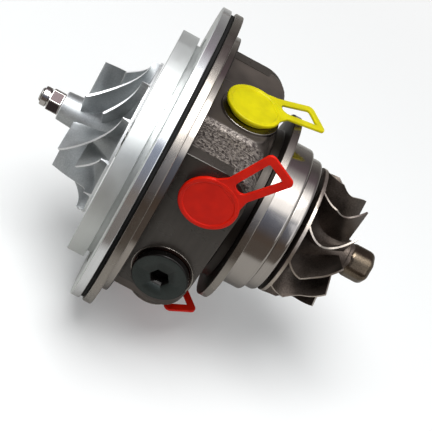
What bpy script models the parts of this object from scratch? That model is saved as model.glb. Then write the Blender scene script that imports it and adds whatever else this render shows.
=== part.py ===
"""Turbocharger cartridge: bearing housing, rotor, backplate, heat shield and shipping caps.

Units are metres. The shaft lies along X, with the turbine at +X. +Z points out of the oil inlet, and -Y is
the side with the water port and the screw plug. The origin is on the shaft's axis, in the joint face of the
housing's big flange. A clock angle is measured round the shaft from +Z towards +Y.
"""

import math

import bmesh
import bpy
from mathutils import Matrix, Vector

# Fits between neighbouring pieces
SEAT_GAP = 0.0002
RUNNING_GAP = 0.00015
FASTENER_GAP = 0.0003

# Round pieces: facets in a full turn
FACETS_BIG = 48
FACETS_MEDIUM = 28
FACETS_SMALL = 20
FACETS_TINY = 12
BLADE_STEPS = 6
HUB_STEPS = 6
BEND_STEPS = 2

# Housing flange, two turned steps behind the joint face at x = 0
FLANGE_RADIUS = 0.0538
FLANGE_THICKNESS = 0.0029
STEP_RADIUS = 0.0474
STEP_THICKNESS = 0.0026
EDGE_BREAK = 0.0004

# Housing body: a box section with a rounded shoulder towards the turbine
BODY_END_X = 0.0292
BODY_HALF_WIDTH = 0.0300
BODY_HALF_HEIGHT = 0.0304
BODY_SHOULDER = 0.0080
BODY_CORNER = 0.0030
NECK_RADIUS = 0.0285

# Turbine flange and the clamp groove in front of it
TURBINE_FLANGE_X = 0.0331
TURBINE_FLANGE_THICKNESS = 0.0029
TURBINE_FLANGE_RADIUS = 0.0342
GROOVE_RADIUS = 0.0275
GROOVE_X = 0.0300
SNOUT_RADIUS = 0.0125
SNOUT_LENGTH = 0.0080

# Shaft
STUB_RADIUS = 0.0025
JOURNAL_RADIUS = 0.0035
WAIST_RADIUS = 0.0032
SEAL_BOSS_RADIUS = 0.0081
SEAL_BOSS_START_X = 0.0376
SHAFT_END_X = 0.0485
STUB_END_X = -0.0439
SPIGOT_RADIUS = 0.0040
SPIGOT_LENGTH = 0.0060

# Bearings: floating bushes between circlips
BUSH_LENGTH = 0.0076
BUSH_WALL = 0.0021
FRONT_BUSH_X = 0.0106
REAR_BUSH_X = 0.0254
CIRCLIP_THICKNESS = 0.0010
CIRCLIP_DEPTH = 0.0008
CIRCLIP_INNER_RADIUS = 0.0045
CIRCLIP_MOUTH = 0.0040
BUSH_OIL_HOLE_RADIUS = 0.0008
BUSH_OIL_HOLES = 4

# Thrust end
THRUST_RECESS_RADIUS = 0.0175
THRUST_RECESS_DEPTH = 0.0050
THRUST_PLATE_THICKNESS = 0.0023
COLLAR_CHAMBER_RADIUS = 0.0105
COLLAR_CHAMBER_END_X = 0.0082
COLLAR_HUB_RADIUS = 0.0052
COLLAR_FLANGE_RADIUS = 0.0086
COLLAR_FLANGE_THICKNESS = 0.0013
SLEEVE_RADIUS = 0.0070
SLEEVE_WAIST_RADIUS = 0.0064
FLINGER_RADIUS = 0.0105
FLINGER_THICKNESS = 0.0012
FLINGER_X = -0.0034
DEFLECTOR_RADIUS = 0.0170
DEFLECTOR_THICKNESS = 0.0008
DEFLECTOR_X = -0.0010
TONGUE_WIDTH = 0.0120
TONGUE_DROP = 0.0080
NOTCH_WIDTH = 0.0090
NOTCH_Z = -0.0105

# Piston rings
RING_WIDTH = 0.0013
RING_DEPTH = 0.0013
RING_SIDE_GAP = 0.00015
RING_MOUTH = 0.0008
FRONT_RING_X = -0.0096
REAR_RING_X = 0.0404

# Backplate
JOINT_GAP = 0.0014
BACKPLATE_FLANGE_INSET = 0.0001
BACKPLATE_FLANGE_THICKNESS = 0.0032
BACKPLATE_DISC_RADIUS = 0.0410
BACKPLATE_DISC_THICKNESS = 0.0061
BACKPLATE_GROOVE_WIDTH = 0.0018
BACKPLATE_GROOVE_RADIUS = 0.0386
FLINGER_POCKET_RADIUS = 0.0140
FLINGER_POCKET_DEPTH = 0.0034
COVER_SEAT_CLEARANCE = 0.0010
COVER_SEAT_RELIEF = 0.0003
SEAL_RING_INSET = 0.0010
SEAL_RING_WIDTH = 0.0025

# Screws
BACKPLATE_SCREW_COUNT = 3
BACKPLATE_SCREW_CIRCLE = 0.0240
BACKPLATE_SCREW_RADIUS = 0.0020
BACKPLATE_SCREW_HEAD_RADIUS = 0.0037
BACKPLATE_SCREW_GRIP = 0.0070
THRUST_SCREW_COUNT = 3
THRUST_SCREW_CIRCLE = 0.0135
THRUST_SCREW_RADIUS = 0.0014
THRUST_SCREW_HEAD_RADIUS = 0.0025
THRUST_SCREW_GRIP = 0.0050
BACKPLATE_SCREW_CLOCK = math.radians(60)
THRUST_SCREW_CLOCK = 0.0

# Compressor wheel
INDUCER_RADIUS = 0.0196
INDUCER_X = -0.0298
SPLITTER_START = 0.31
EXDUCER_RADIUS = 0.0280
EXDUCER_TIP_X = -0.0155
WHEEL_DISC_THICKNESS = 0.0008
WHEEL_BACK_GAP = 0.0004
WHEEL_HUB_RADIUS = 0.0056
WHEEL_NOSE_RADIUS = 0.0051
WHEEL_NOSE_X = -0.0360
FULL_BLADES = 6
COMPRESSOR_TIP_THICKNESS = 0.0007
COMPRESSOR_ROOT_THICKNESS = 0.0013
COMPRESSOR_SWEEP = math.radians(24.6)
COMPRESSOR_CURL = math.radians(28.4)
COMPRESSOR_CLOCK = math.radians(-41.5)

# Compressor nut
NUT_ACROSS_CORNERS = 0.0084
NUT_LENGTH = 0.0043
NUT_COLLAR_RADIUS = 0.0034
NUT_COLLAR_LENGTH = 0.0026
NUT_CLOCK = math.radians(-30)

# Turbine wheel
TURBINE_BACK_X = 0.0510
TURBINE_DISC_THICKNESS = 0.0012
TURBINE_RADIUS = 0.0233
TURBINE_INLET_WIDTH = 0.0060
TURBINE_EXIT_RADIUS = 0.0203
TURBINE_SHROUD_X = 0.0640
TURBINE_EXIT_X = 0.0692
TURBINE_HUB_RADIUS = 0.0061
TURBINE_HUB_X = 0.0715
TURBINE_BLADES = 11
TURBINE_TIP_THICKNESS = 0.0008
TURBINE_ROOT_THICKNESS = 0.0016
TURBINE_WRAP_X = 0.0588
TURBINE_WRAP_START = math.radians(-7.5)
TURBINE_WRAP_RATE = math.radians(0.22) * 1.0e6
TURBINE_CLOCK = math.radians(-46.5)
NOSE_BLOCK_X = 0.0718
NOSE_BLOCK_LENGTH = 0.0098
NOSE_BLOCK_RADIUS = 0.0066
NOSE_BLOCK_ROUNDING = 0.0018

# Heat shield
SHIELD_RADIUS = 0.0265
SHIELD_SHOULDER_X = 0.0450
SHIELD_LIP_RADIUS = 0.0245
SHIELD_END_X = 0.0496
SHIELD_WALL = 0.0010
SHIELD_ROUNDING = 0.0014
SHIELD_HOLE_RADIUS = 0.0094
SHIELD_RECESS_CLEARANCE = 0.0010
SHIELD_RECESS_DEPTH = 0.0003

# Ports and what closes them
PORT_X = 0.0185
BOSS_RADIUS = 0.0102
BOSS_HEIGHT = 0.0027
OIL_PORT_RADIUS = 0.0056
OIL_PORT_DEPTH = 0.0120
WATER_PORT_RADIUS = 0.0065
WATER_PORT_Z = 0.0205
PLUG_X = 0.0179
PLUG_Z = -0.0152
PLUG_HEAD_RADIUS = 0.0095
PLUG_HEAD_THICKNESS = 0.0024
PLUG_SHANK_LENGTH = 0.0070
PLUG_SOCKET_RADIUS = 0.0035
PLUG_SOCKET_DEPTH = 0.0045
WASHER_THICKNESS = 0.0006
WASHER_WIDTH = 0.0030

# Drain flange: a round middle with an ear for each bolt
DRAIN_FACE_Z = -0.0340
DRAIN_LOBE_RADIUS = 0.0128
DRAIN_EAR_RADIUS = 0.0085
DRAIN_BOLT_SPACING = 0.0420
DRAIN_BOLT_RADIUS = 0.0034
DRAIN_BOLT_DEPTH = 0.0100
DRAIN_RADIUS = 0.0079
DRAIN_TOP_Z = -0.0085

# Oil ways and water jacket inside the housing
OILWAY_RADIUS = 0.0013
SUMP_RADIUS = 0.0050
SUMP_Z = -0.0135
MIDDLE_DRAIN_RADIUS = 0.0018
REAR_DRAIN_RADIUS = 0.0018
REAR_CHAMBER_RADIUS = 0.0105
REAR_CHAMBER_START_X = 0.0348
REAR_CHAMBER_END_X = 0.0372
JACKET_INNER_Y = 0.0165
JACKET_OUTER_Y = 0.0250
JACKET_HALF_HEIGHT = 0.0205
JACKET_START_X = 0.0130
JACKET_RING_START_X = 0.0274
JACKET_RING_END_X = 0.0318
JACKET_RING_INNER_RADIUS = 0.0160
JACKET_RING_OUTER_RADIUS = 0.0205

# Shipping caps
CAP_RADIUS = 0.0096
CAP_THICKNESS = 0.0013
CAP_DISH = 0.0003
CAP_RIM_WIDTH = 0.0014
CAP_COLLAR_RADIUS = 0.0078
CAP_COLLAR_HEIGHT = 0.0019
CAP_STEM_LENGTH = 0.0065
CAP_STEM_WALL = 0.0012
CAP_STEM_TAPER = 0.0004
CAP_STEM_GAP = 0.0004
TAB_REACH = 0.0285
TAB_NEAR_HALF_WIDTH = 0.0046
TAB_FAR_HALF_WIDTH = 0.0062
TAB_STRUT = 0.0021
DRAIN_CAP_RADIUS = 0.0112
DRAIN_CAP_TAB_REACH = 0.0262
INLET_TAB_ANGLE = math.radians(35)
INLET_TAB_DROOP = math.radians(10)
WATER_TAB_ANGLE = math.radians(61)
DRAIN_TAB_ANGLE = math.radians(55)
OUTLET_TAB_ANGLE = math.radians(60)

# Places worked out from the sizes above
STEP_END_X = FLANGE_THICKNESS + STEP_THICKNESS
BEARING_BORE_RADIUS = JOURNAL_RADIUS + BUSH_WALL + 2 * RUNNING_GAP
CIRCLIP_GROOVE_RADIUS = BEARING_BORE_RADIUS + CIRCLIP_DEPTH
TURBINE_FLANGE_END_X = TURBINE_FLANGE_X + TURBINE_FLANGE_THICKNESS
SHIELD_RECESS_X = TURBINE_FLANGE_END_X - SHIELD_RECESS_DEPTH
SHIELD_RECESS_RADIUS = SHIELD_RADIUS + SHIELD_RECESS_CLEARANCE
SNOUT_END_X = TURBINE_FLANGE_END_X + SNOUT_LENGTH
SEAL_BORE_RADIUS = SEAL_BOSS_RADIUS + 2 * RUNNING_GAP
BACKPLATE_FLANGE_RADIUS = FLANGE_RADIUS - BACKPLATE_FLANGE_INSET
SEAL_RING_RADIUS = BACKPLATE_FLANGE_RADIUS - SEAL_RING_INSET
COVER_SEAT_RADIUS = BACKPLATE_DISC_RADIUS + COVER_SEAT_CLEARANCE
BACKPLATE_BACK_X = -JOINT_GAP
BACKPLATE_FLANGE_FRONT_X = BACKPLATE_BACK_X - BACKPLATE_FLANGE_THICKNESS
BACKPLATE_DISC_BACK_X = BACKPLATE_FLANGE_FRONT_X - BACKPLATE_GROOVE_WIDTH
BACKPLATE_FRONT_X = BACKPLATE_DISC_BACK_X - BACKPLATE_DISC_THICKNESS
BACKPLATE_BORE_RADIUS = SLEEVE_RADIUS + 2 * RUNNING_GAP
WHEEL_BACK_X = BACKPLATE_FRONT_X - WHEEL_BACK_GAP
WHEEL_RIM_X = WHEEL_BACK_X - WHEEL_DISC_THICKNESS
SLEEVE_FRONT_X = WHEEL_BACK_X + SEAT_GAP
THRUST_PLATE_BACK_X = THRUST_RECESS_DEPTH - SEAT_GAP
THRUST_PLATE_FRONT_X = THRUST_PLATE_BACK_X - THRUST_PLATE_THICKNESS
SLEEVE_BACK_X = THRUST_PLATE_FRONT_X - RUNNING_GAP
COLLAR_FRONT_X = SLEEVE_BACK_X + SEAT_GAP
COLLAR_FLANGE_X = THRUST_PLATE_BACK_X + RUNNING_GAP
COLLAR_BACK_X = COLLAR_FLANGE_X + COLLAR_FLANGE_THICKNESS
SHOULDER_X = COLLAR_BACK_X + SEAT_GAP
TURBINE_DISC_FRONT_X = TURBINE_BACK_X + TURBINE_DISC_THICKNESS
BOSS_FACE_Y = BODY_HALF_WIDTH + BOSS_HEIGHT
OIL_BOSS_FACE_Z = BODY_HALF_HEIGHT + BOSS_HEIGHT

ALONG_SHAFT = Matrix.Rotation(math.pi / 2, 4, "Y")
# Turned cuts in the housing have their facets between those of its outside
BETWEEN_FACETS = ALONG_SHAFT @ Matrix.Rotation(math.pi / FACETS_BIG, 4, "Z")


# Scene, materials and small helpers

def clear_scene():
    for thing in list(bpy.data.objects):
        bpy.data.objects.remove(thing, do_unlink=True)


def new_collection(name):
    collection = bpy.data.collections.new(name)
    bpy.context.scene.collection.children.link(collection)
    return collection


def new_material(name, colour, metallic, roughness):
    material = bpy.data.materials.new(name)
    material.use_nodes = True
    shader = material.node_tree.nodes["Principled BSDF"]
    shader.inputs["Base Color"].default_value = (*colour, 1.0)
    shader.inputs["Metallic"].default_value = metallic
    shader.inputs["Roughness"].default_value = roughness
    material.diffuse_color = (*colour, 1.0)
    return material


clear_scene()
PARTS = new_collection("turbo_cartridge")
CUTTERS = new_collection("cutters")
CAST_IRON = new_material("cast_iron", (0.10, 0.09, 0.085), 0.8, 0.55)
MACHINED_STEEL = new_material("machined_steel", (0.55, 0.54, 0.52), 1.0, 0.3)
BLACK_STEEL = new_material("blackened_steel", (0.03, 0.032, 0.034), 0.6, 0.45)
CAST_ALUMINIUM = new_material("cast_aluminium", (0.62, 0.64, 0.67), 1.0, 0.4)
TURNED_ALUMINIUM = new_material("turned_aluminium", (0.70, 0.71, 0.72), 1.0, 0.3)
NICKEL_ALLOY = new_material("nickel_alloy", (0.09, 0.075, 0.065), 0.9, 0.4)
STAINLESS_SHEET = new_material("stainless_sheet", (0.60, 0.58, 0.55), 1.0, 0.22)
BEARING_BRONZE = new_material("bearing_bronze", (0.60, 0.42, 0.20), 1.0, 0.3)
SPRING_STEEL = new_material("spring_steel", (0.20, 0.20, 0.21), 1.0, 0.35)
COPPER = new_material("copper", (0.72, 0.40, 0.27), 1.0, 0.3)
BLACK_RUBBER = new_material("black_rubber", (0.015, 0.015, 0.016), 0.0, 0.6)
YELLOW_PLASTIC = new_material("yellow_plastic", (0.62, 0.56, 0.01), 0.0, 0.3)
RED_PLASTIC = new_material("red_plastic", (0.70, 0.04, 0.015), 0.0, 0.3)


def add_object(name, mesh, material, collection=PARTS):
    thing = bpy.data.objects.new(name, mesh)
    if material is not None:
        mesh.materials.append(material)
    collection.objects.link(thing)
    if collection is CUTTERS:
        thing.hide_render = True
        thing.display_type = "WIRE"
    return thing


def mesh_from(bm, name):
    bmesh.ops.recalc_face_normals(bm, faces=bm.faces)
    mesh = bpy.data.meshes.new(name)
    bm.to_mesh(mesh)
    bm.free()
    return mesh


def turned(name, profile, material=None, facets=FACETS_MEDIUM, collection=PARTS, place=ALONG_SHAFT):
    """A turned piece from (along, radius) points: down the outer side, high to low, then back up the inner."""
    closed = all(radius > 0 for _, radius in profile)
    mesh = bpy.data.meshes.new(name)
    points = [(radius, 0.0, along) for along, radius in profile]
    edges = [(i, i + 1) for i in range(len(points) - 1)]
    if closed:
        edges.append((len(points) - 1, 0))
    mesh.from_pydata(points, edges, [])
    thing = add_object(name, mesh, material, collection)
    thing.matrix_world = place
    screw = thing.modifiers.new("turn", "SCREW")
    screw.axis = "Z"
    screw.steps = facets
    screw.render_steps = facets
    screw.use_merge_vertices = True
    screw.merge_threshold = 0.000002
    screw.use_smooth_shade = True
    return thing


def boolean(target, tool, operation="DIFFERENCE"):
    step = target.modifiers.new(operation.lower() + "_" + tool.name, "BOOLEAN")
    step.operation = operation
    step.solver = "EXACT"
    step.object = tool
    return step


def place_along(start, direction):
    """The matrix that puts local Z along a direction, with local X kept level with the shaft where it can be."""
    z = Vector(direction).normalized()
    x = Vector((1, 0, 0)) - z * z.x
    x = Vector((0, 1, 0)) if x.length < 1e-6 else x.normalized()
    y = z.cross(x)
    turn = Matrix((x, y, z)).transposed().to_4x4()
    return Matrix.Translation(Vector(start)) @ turn


def cylinder(name, radius, start, end, facets=FACETS_SMALL, material=None, collection=CUTTERS, end_radius=None):
    """A round bar from one point to another."""
    start = Vector(start)
    end = Vector(end)
    bm = bmesh.new()
    length = (end - start).length
    far = radius if end_radius is None else end_radius
    bmesh.ops.create_cone(bm, cap_ends=True, segments=facets, radius1=radius, radius2=far, depth=length)
    bmesh.ops.translate(bm, verts=bm.verts, vec=(0, 0, length / 2))
    thing = add_object(name, mesh_from(bm, name), material, collection)
    thing.matrix_world = place_along(start, end - start)
    return thing


def block(name, low, high, collection=CUTTERS, material=None):
    """A box between two corners."""
    low = Vector(low)
    high = Vector(high)
    bm = bmesh.new()
    bmesh.ops.create_cube(bm, size=1.0)
    bmesh.ops.scale(bm, verts=bm.verts, vec=high - low)
    thing = add_object(name, mesh_from(bm, name), material, collection)
    thing.location = (low + high) / 2
    return thing


def on_clock(x, radius, clock):
    """The point at a radius and clock angle round the shaft."""
    return Vector((x, radius * math.sin(clock), radius * math.cos(clock)))


def chamfered(start, end, outer, inner, chamfer=EDGE_BREAK):
    """The profile of a ring with a bore, its outer edges broken."""
    return [(end, inner), (end, outer - chamfer), (end - chamfer, outer), (start + chamfer, outer),
            (start, outer - chamfer), (start, inner)]


def arc(centre, radii, first, last, steps):
    """Points (along, radius) on an ellipse arc, its angle measured from the along direction."""
    points = []
    for i in range(steps + 1):
        angle = first + (last - first) * i / steps
        points.append((centre[0] + radii[0] * math.cos(angle), centre[1] + radii[1] * math.sin(angle)))
    return points


# Bearing housing

def housing_body_box():
    """The boxy casting between the flanges: rounded shoulder at the turbine end, small corners along the shaft."""
    bm = bmesh.new()
    bmesh.ops.create_cube(bm, size=1.0)
    length = BODY_END_X - FLANGE_THICKNESS
    bmesh.ops.scale(bm, verts=bm.verts, vec=(length, 2 * BODY_HALF_WIDTH, 2 * BODY_HALF_HEIGHT))
    bmesh.ops.translate(bm, verts=bm.verts, vec=(FLANGE_THICKNESS + length / 2, 0, 0))
    tiny = 1e-6
    shoulder = [e for e in bm.edges if all(v.co.x > BODY_END_X - tiny for v in e.verts)]
    bmesh.ops.bevel(bm, geom=shoulder, offset=BODY_SHOULDER, segments=4, profile=0.5, affect="EDGES")
    front = FLANGE_THICKNESS + tiny
    corners = [e for e in bm.edges
               if max(v.co.x for v in e.verts) > front and e.calc_face_angle(0.0) > math.radians(45)]
    bmesh.ops.bevel(bm, geom=corners, offset=BODY_CORNER, segments=2, profile=0.5, affect="EDGES")
    return add_object("body_box", mesh_from(bm, "body_box"), None, CUTTERS)


def drain_flange_outline():
    """A round middle with two ears: straight tangents join three circles."""
    half = DRAIN_BOLT_SPACING / 2
    lean = math.asin((DRAIN_LOBE_RADIUS - DRAIN_EAR_RADIUS) / half)
    points = []
    for centre, radius, first, last in (
            (half, DRAIN_EAR_RADIUS, -math.pi / 2 + lean, math.pi / 2 - lean),
            (0.0, DRAIN_LOBE_RADIUS, math.pi / 2 - lean, math.pi / 2 + lean),
            (-half, DRAIN_EAR_RADIUS, math.pi / 2 + lean, 3 * math.pi / 2 - lean),
            (0.0, DRAIN_LOBE_RADIUS, -math.pi / 2 - lean, -math.pi / 2 + lean)):
        steps = 8 if radius == DRAIN_EAR_RADIUS else 4
        for i in range(steps + 1):
            angle = first + (last - first) * i / steps
            points.append((centre + radius * math.cos(angle), radius * math.sin(angle)))
    return points


def flat_plate(name, outlines, thickness, material=None, collection=CUTTERS):
    """A plate cut to one or more outlines, the first outside and the others holes, made a closed mesh."""
    curve = bpy.data.curves.new(name, "CURVE")
    curve.dimensions = "2D"
    curve.fill_mode = "BOTH"
    curve.extrude = thickness / 2
    for outline in outlines:
        spline = curve.splines.new("POLY")
        spline.points.add(len(outline) - 1)
        for point, (x, y) in zip(spline.points, outline):
            point.co = (x, y, 0, 1)
        spline.use_cyclic_u = True
    source = bpy.data.objects.new(name + "_curve", curve)
    CUTTERS.objects.link(source)
    seen = source.evaluated_get(bpy.context.evaluated_depsgraph_get())
    mesh = bpy.data.meshes.new_from_object(seen)
    bpy.data.objects.remove(source)
    bm = bmesh.new()
    bm.from_mesh(mesh)
    bmesh.ops.remove_doubles(bm, verts=bm.verts, dist=0.000002)
    return add_object(name, mesh_from(bm, name), material, collection)


def make_bearing_housing():
    outer = [
        (SNOUT_END_X, 0.0),
        (SNOUT_END_X, SNOUT_RADIUS),
        (SHIELD_RECESS_X, SNOUT_RADIUS),
        (SHIELD_RECESS_X, SHIELD_RECESS_RADIUS),
        (TURBINE_FLANGE_END_X, SHIELD_RECESS_RADIUS),
        (TURBINE_FLANGE_END_X, TURBINE_FLANGE_RADIUS - EDGE_BREAK),
        (TURBINE_FLANGE_END_X - EDGE_BREAK, TURBINE_FLANGE_RADIUS),
        (TURBINE_FLANGE_X + EDGE_BREAK, TURBINE_FLANGE_RADIUS),
        (TURBINE_FLANGE_X, TURBINE_FLANGE_RADIUS - EDGE_BREAK),
        (TURBINE_FLANGE_X, GROOVE_RADIUS),
        (GROOVE_X, GROOVE_RADIUS),
        (BODY_END_X, NECK_RADIUS),
        (STEP_END_X, NECK_RADIUS),
        (STEP_END_X, STEP_RADIUS - EDGE_BREAK),
        (STEP_END_X - EDGE_BREAK, STEP_RADIUS),
        (FLANGE_THICKNESS, STEP_RADIUS),
        (FLANGE_THICKNESS, FLANGE_RADIUS - EDGE_BREAK),
        (FLANGE_THICKNESS - EDGE_BREAK, FLANGE_RADIUS),
        (EDGE_BREAK, FLANGE_RADIUS),
        (0.0, FLANGE_RADIUS - EDGE_BREAK),
        (0.0, 0.0),
    ]
    housing = turned("bearing_housing", outer, CAST_IRON, FACETS_BIG)
    boolean(housing, housing_body_box(), "UNION")
    for name, face, radius in (
            ("oil_boss", Vector((PORT_X, 0, OIL_BOSS_FACE_Z)), BOSS_RADIUS),
            ("water_boss", Vector((PORT_X, -BOSS_FACE_Y, WATER_PORT_Z)), BOSS_RADIUS),
            ("plug_boss", Vector((PLUG_X, -BOSS_FACE_Y, PLUG_Z)), BOSS_RADIUS),
            ("outlet_boss", Vector((PORT_X, BOSS_FACE_Y, PLUG_Z)), BOSS_RADIUS)):
        out = Vector((0, 0, 1)) if name == "oil_boss" else Vector((0, math.copysign(1, face.y), 0))
        foot = face - out * (BOSS_HEIGHT + BODY_CORNER)
        boolean(housing, cylinder(name, radius, foot, face, FACETS_SMALL), "UNION")
    outline = [(y, x) for x, y in drain_flange_outline()]
    height = -BODY_HALF_HEIGHT - DRAIN_FACE_Z + BODY_CORNER
    plate = flat_plate("drain_boss", [outline], height)
    plate.location = (PORT_X, 0, DRAIN_FACE_Z + height / 2)
    boolean(housing, plate, "UNION")
    cut_housing_core(housing)
    cut_housing_ports(housing)
    return housing


def circlip_places():
    """Where each circlip starts: one on both sides of each bush."""
    places = []
    for start in (FRONT_BUSH_X, REAR_BUSH_X):
        places.append(start - RUNNING_GAP - SEAT_GAP - CIRCLIP_THICKNESS)
        places.append(start + BUSH_LENGTH + RUNNING_GAP + SEAT_GAP)
    return places


def cut_housing_core(housing):
    """The turned inside: seal bore, rear oil chamber, bearing bore with circlip grooves, thrust recess."""
    beyond = 0.001
    core = [
        (SNOUT_END_X + beyond, 0.0),
        (SNOUT_END_X + beyond, SEAL_BORE_RADIUS),
        (REAR_CHAMBER_END_X, SEAL_BORE_RADIUS),
        (REAR_CHAMBER_END_X, REAR_CHAMBER_RADIUS),
        (REAR_CHAMBER_START_X, REAR_CHAMBER_RADIUS),
        (REAR_CHAMBER_START_X, BEARING_BORE_RADIUS),
    ]
    for start in sorted(circlip_places(), reverse=True):
        low = start - SEAT_GAP / 2
        high = start + CIRCLIP_THICKNESS + SEAT_GAP / 2
        core += [(high, BEARING_BORE_RADIUS), (high, CIRCLIP_GROOVE_RADIUS),
                 (low, CIRCLIP_GROOVE_RADIUS), (low, BEARING_BORE_RADIUS)]
    core += [
        (COLLAR_CHAMBER_END_X, BEARING_BORE_RADIUS),
        (COLLAR_CHAMBER_END_X, COLLAR_CHAMBER_RADIUS),
        (THRUST_RECESS_DEPTH, COLLAR_CHAMBER_RADIUS),
        (THRUST_RECESS_DEPTH, THRUST_RECESS_RADIUS),
        (-beyond, THRUST_RECESS_RADIUS),
        (-beyond, 0.0),
    ]
    boolean(housing, turned("core", core, None, FACETS_MEDIUM, CUTTERS, BETWEEN_FACETS))


def cut_housing_ports(housing):
    cut_oil_ways(housing)
    cut_water_jacket(housing)
    cut_drain(housing)
    cut_tapped_holes(housing)


def cut_oil_ways(housing):
    """The oil inlet's hole, and a drilling from its floor down to each bush."""
    beyond = 0.001
    oil_floor = OIL_BOSS_FACE_Z - OIL_PORT_DEPTH
    boolean(housing, cylinder("oil_port", OIL_PORT_RADIUS, (PORT_X, 0, oil_floor),
                              (PORT_X, 0, OIL_BOSS_FACE_Z + beyond)))
    for name, bush_x in (("front_oilway", FRONT_BUSH_X), ("rear_oilway", REAR_BUSH_X)):
        target = Vector((bush_x + BUSH_LENGTH / 2, 0, 0))
        start = Vector((PORT_X, 0, oil_floor + beyond))
        down = (target - start).normalized()
        target = target - down * BEARING_BORE_RADIUS / 2
        boolean(housing, cylinder(name, OILWAY_RADIUS, start, target, FACETS_TINY))


def cut_water_jacket(housing):
    """A coolant chamber on both sides, joined by a ring near the turbine, and the ports that open into them."""
    beyond = 0.001
    jacket_top = WATER_PORT_Z + WATER_PORT_RADIUS / 2
    for name, side in (("near_jacket", -1), ("far_jacket", 1)):
        near = side * JACKET_INNER_Y
        far = side * JACKET_OUTER_Y
        low = (JACKET_START_X, min(near, far), -JACKET_HALF_HEIGHT)
        high = (JACKET_RING_START_X + beyond, max(near, far), jacket_top)
        boolean(housing, block(name, low, high))
    ring = [
        (JACKET_RING_END_X, JACKET_RING_INNER_RADIUS),
        (JACKET_RING_END_X, JACKET_RING_OUTER_RADIUS),
        (JACKET_RING_START_X, JACKET_RING_OUTER_RADIUS),
        (JACKET_RING_START_X, JACKET_RING_INNER_RADIUS),
    ]
    boolean(housing, turned("jacket_ring", ring, None, FACETS_SMALL, CUTTERS, BETWEEN_FACETS))
    for name, x, side, z in (("water_port", PORT_X, -1, WATER_PORT_Z), ("plug_port", PLUG_X, -1, PLUG_Z),
                             ("outlet_port", PORT_X, 1, PLUG_Z)):
        inside = (x, side * (JACKET_OUTER_Y - beyond), z)
        outside = (x, side * (BOSS_FACE_Y + beyond), z)
        boolean(housing, cylinder(name, WATER_PORT_RADIUS, inside, outside))


def cut_drain(housing):
    """The drain hole under the shaft, and what leads to it from the thrust end, the middle and the rear chamber."""
    beyond = 0.001
    boolean(housing, cylinder("drain_hole", DRAIN_RADIUS, (PORT_X, 0, DRAIN_FACE_Z - beyond),
                              (PORT_X, 0, DRAIN_TOP_Z)))
    boolean(housing, cylinder("sump", SUMP_RADIUS, (THRUST_RECESS_DEPTH - beyond, 0, SUMP_Z),
                              (PORT_X, 0, SUMP_Z), FACETS_TINY))
    middle_x = (FRONT_BUSH_X + BUSH_LENGTH + REAR_BUSH_X) / 2
    boolean(housing, cylinder("middle_drain", MIDDLE_DRAIN_RADIUS, (middle_x, 0, DRAIN_TOP_Z - beyond),
                              (middle_x, 0, -BEARING_BORE_RADIUS / 2), FACETS_TINY))
    rear_mouth = ((REAR_CHAMBER_START_X + REAR_CHAMBER_END_X) / 2, 0, beyond - REAR_CHAMBER_RADIUS)
    rear_foot = (PORT_X + DRAIN_RADIUS - REAR_DRAIN_RADIUS, 0, DRAIN_TOP_Z - REAR_DRAIN_RADIUS)
    boolean(housing, cylinder("rear_drain", REAR_DRAIN_RADIUS, rear_mouth, rear_foot, FACETS_TINY))


def cut_tapped_holes(housing):
    """Holes for the drain pipe's bolts, the backplate's screws and the thrust bearing's screws."""
    beyond = 0.001
    for side in (-1, 1):
        y = side * DRAIN_BOLT_SPACING / 2
        boolean(housing, cylinder(f"drain_bolt_hole_{side}", DRAIN_BOLT_RADIUS, (PORT_X, y, DRAIN_FACE_Z - beyond),
                                  (PORT_X, y, DRAIN_FACE_Z + DRAIN_BOLT_DEPTH)))
    for i, clock in enumerate(clocks(BACKPLATE_SCREW_COUNT, BACKPLATE_SCREW_CLOCK)):
        depth = BACKPLATE_SCREW_GRIP + FASTENER_GAP
        boolean(housing, cylinder(f"backplate_tapping_{i}", BACKPLATE_SCREW_RADIUS + FASTENER_GAP,
                                  on_clock(-beyond, BACKPLATE_SCREW_CIRCLE, clock),
                                  on_clock(depth, BACKPLATE_SCREW_CIRCLE, clock), FACETS_TINY))
    for i, clock in enumerate(clocks(THRUST_SCREW_COUNT, THRUST_SCREW_CLOCK)):
        depth = THRUST_RECESS_DEPTH + THRUST_SCREW_GRIP + FASTENER_GAP
        boolean(housing, cylinder(f"thrust_tapping_{i}", THRUST_SCREW_RADIUS + FASTENER_GAP,
                                  on_clock(THRUST_RECESS_DEPTH - beyond, THRUST_SCREW_CIRCLE, clock),
                                  on_clock(depth, THRUST_SCREW_CIRCLE, clock), FACETS_TINY))


def clocks(count, first):
    """Clock angles of a ring of screws."""
    return [first + 2 * math.pi * i / count for i in range(count)]


# Backplate, seals and screws

def countersunk_screw(name, radius, head_radius, face_x, end_x, circle, clock):
    """A flat-headed screw along the shaft's direction, with a hexagon socket in its head."""
    head = head_radius - radius
    profile = [
        (end_x, 0.0),
        (end_x, radius - EDGE_BREAK),
        (end_x - EDGE_BREAK, radius),
        (face_x + head, radius),
        (face_x, head_radius),
        (face_x, 0.0),
    ]
    place = Matrix.Translation(on_clock(0, circle, clock)) @ ALONG_SHAFT
    screw = turned(name, profile, SPRING_STEEL, FACETS_TINY, PARTS, place)
    socket = cylinder(name + "_socket", radius, on_clock(face_x - EDGE_BREAK, circle, clock),
                      on_clock(face_x + head, circle, clock), 6)
    boolean(screw, socket)
    return screw


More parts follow.
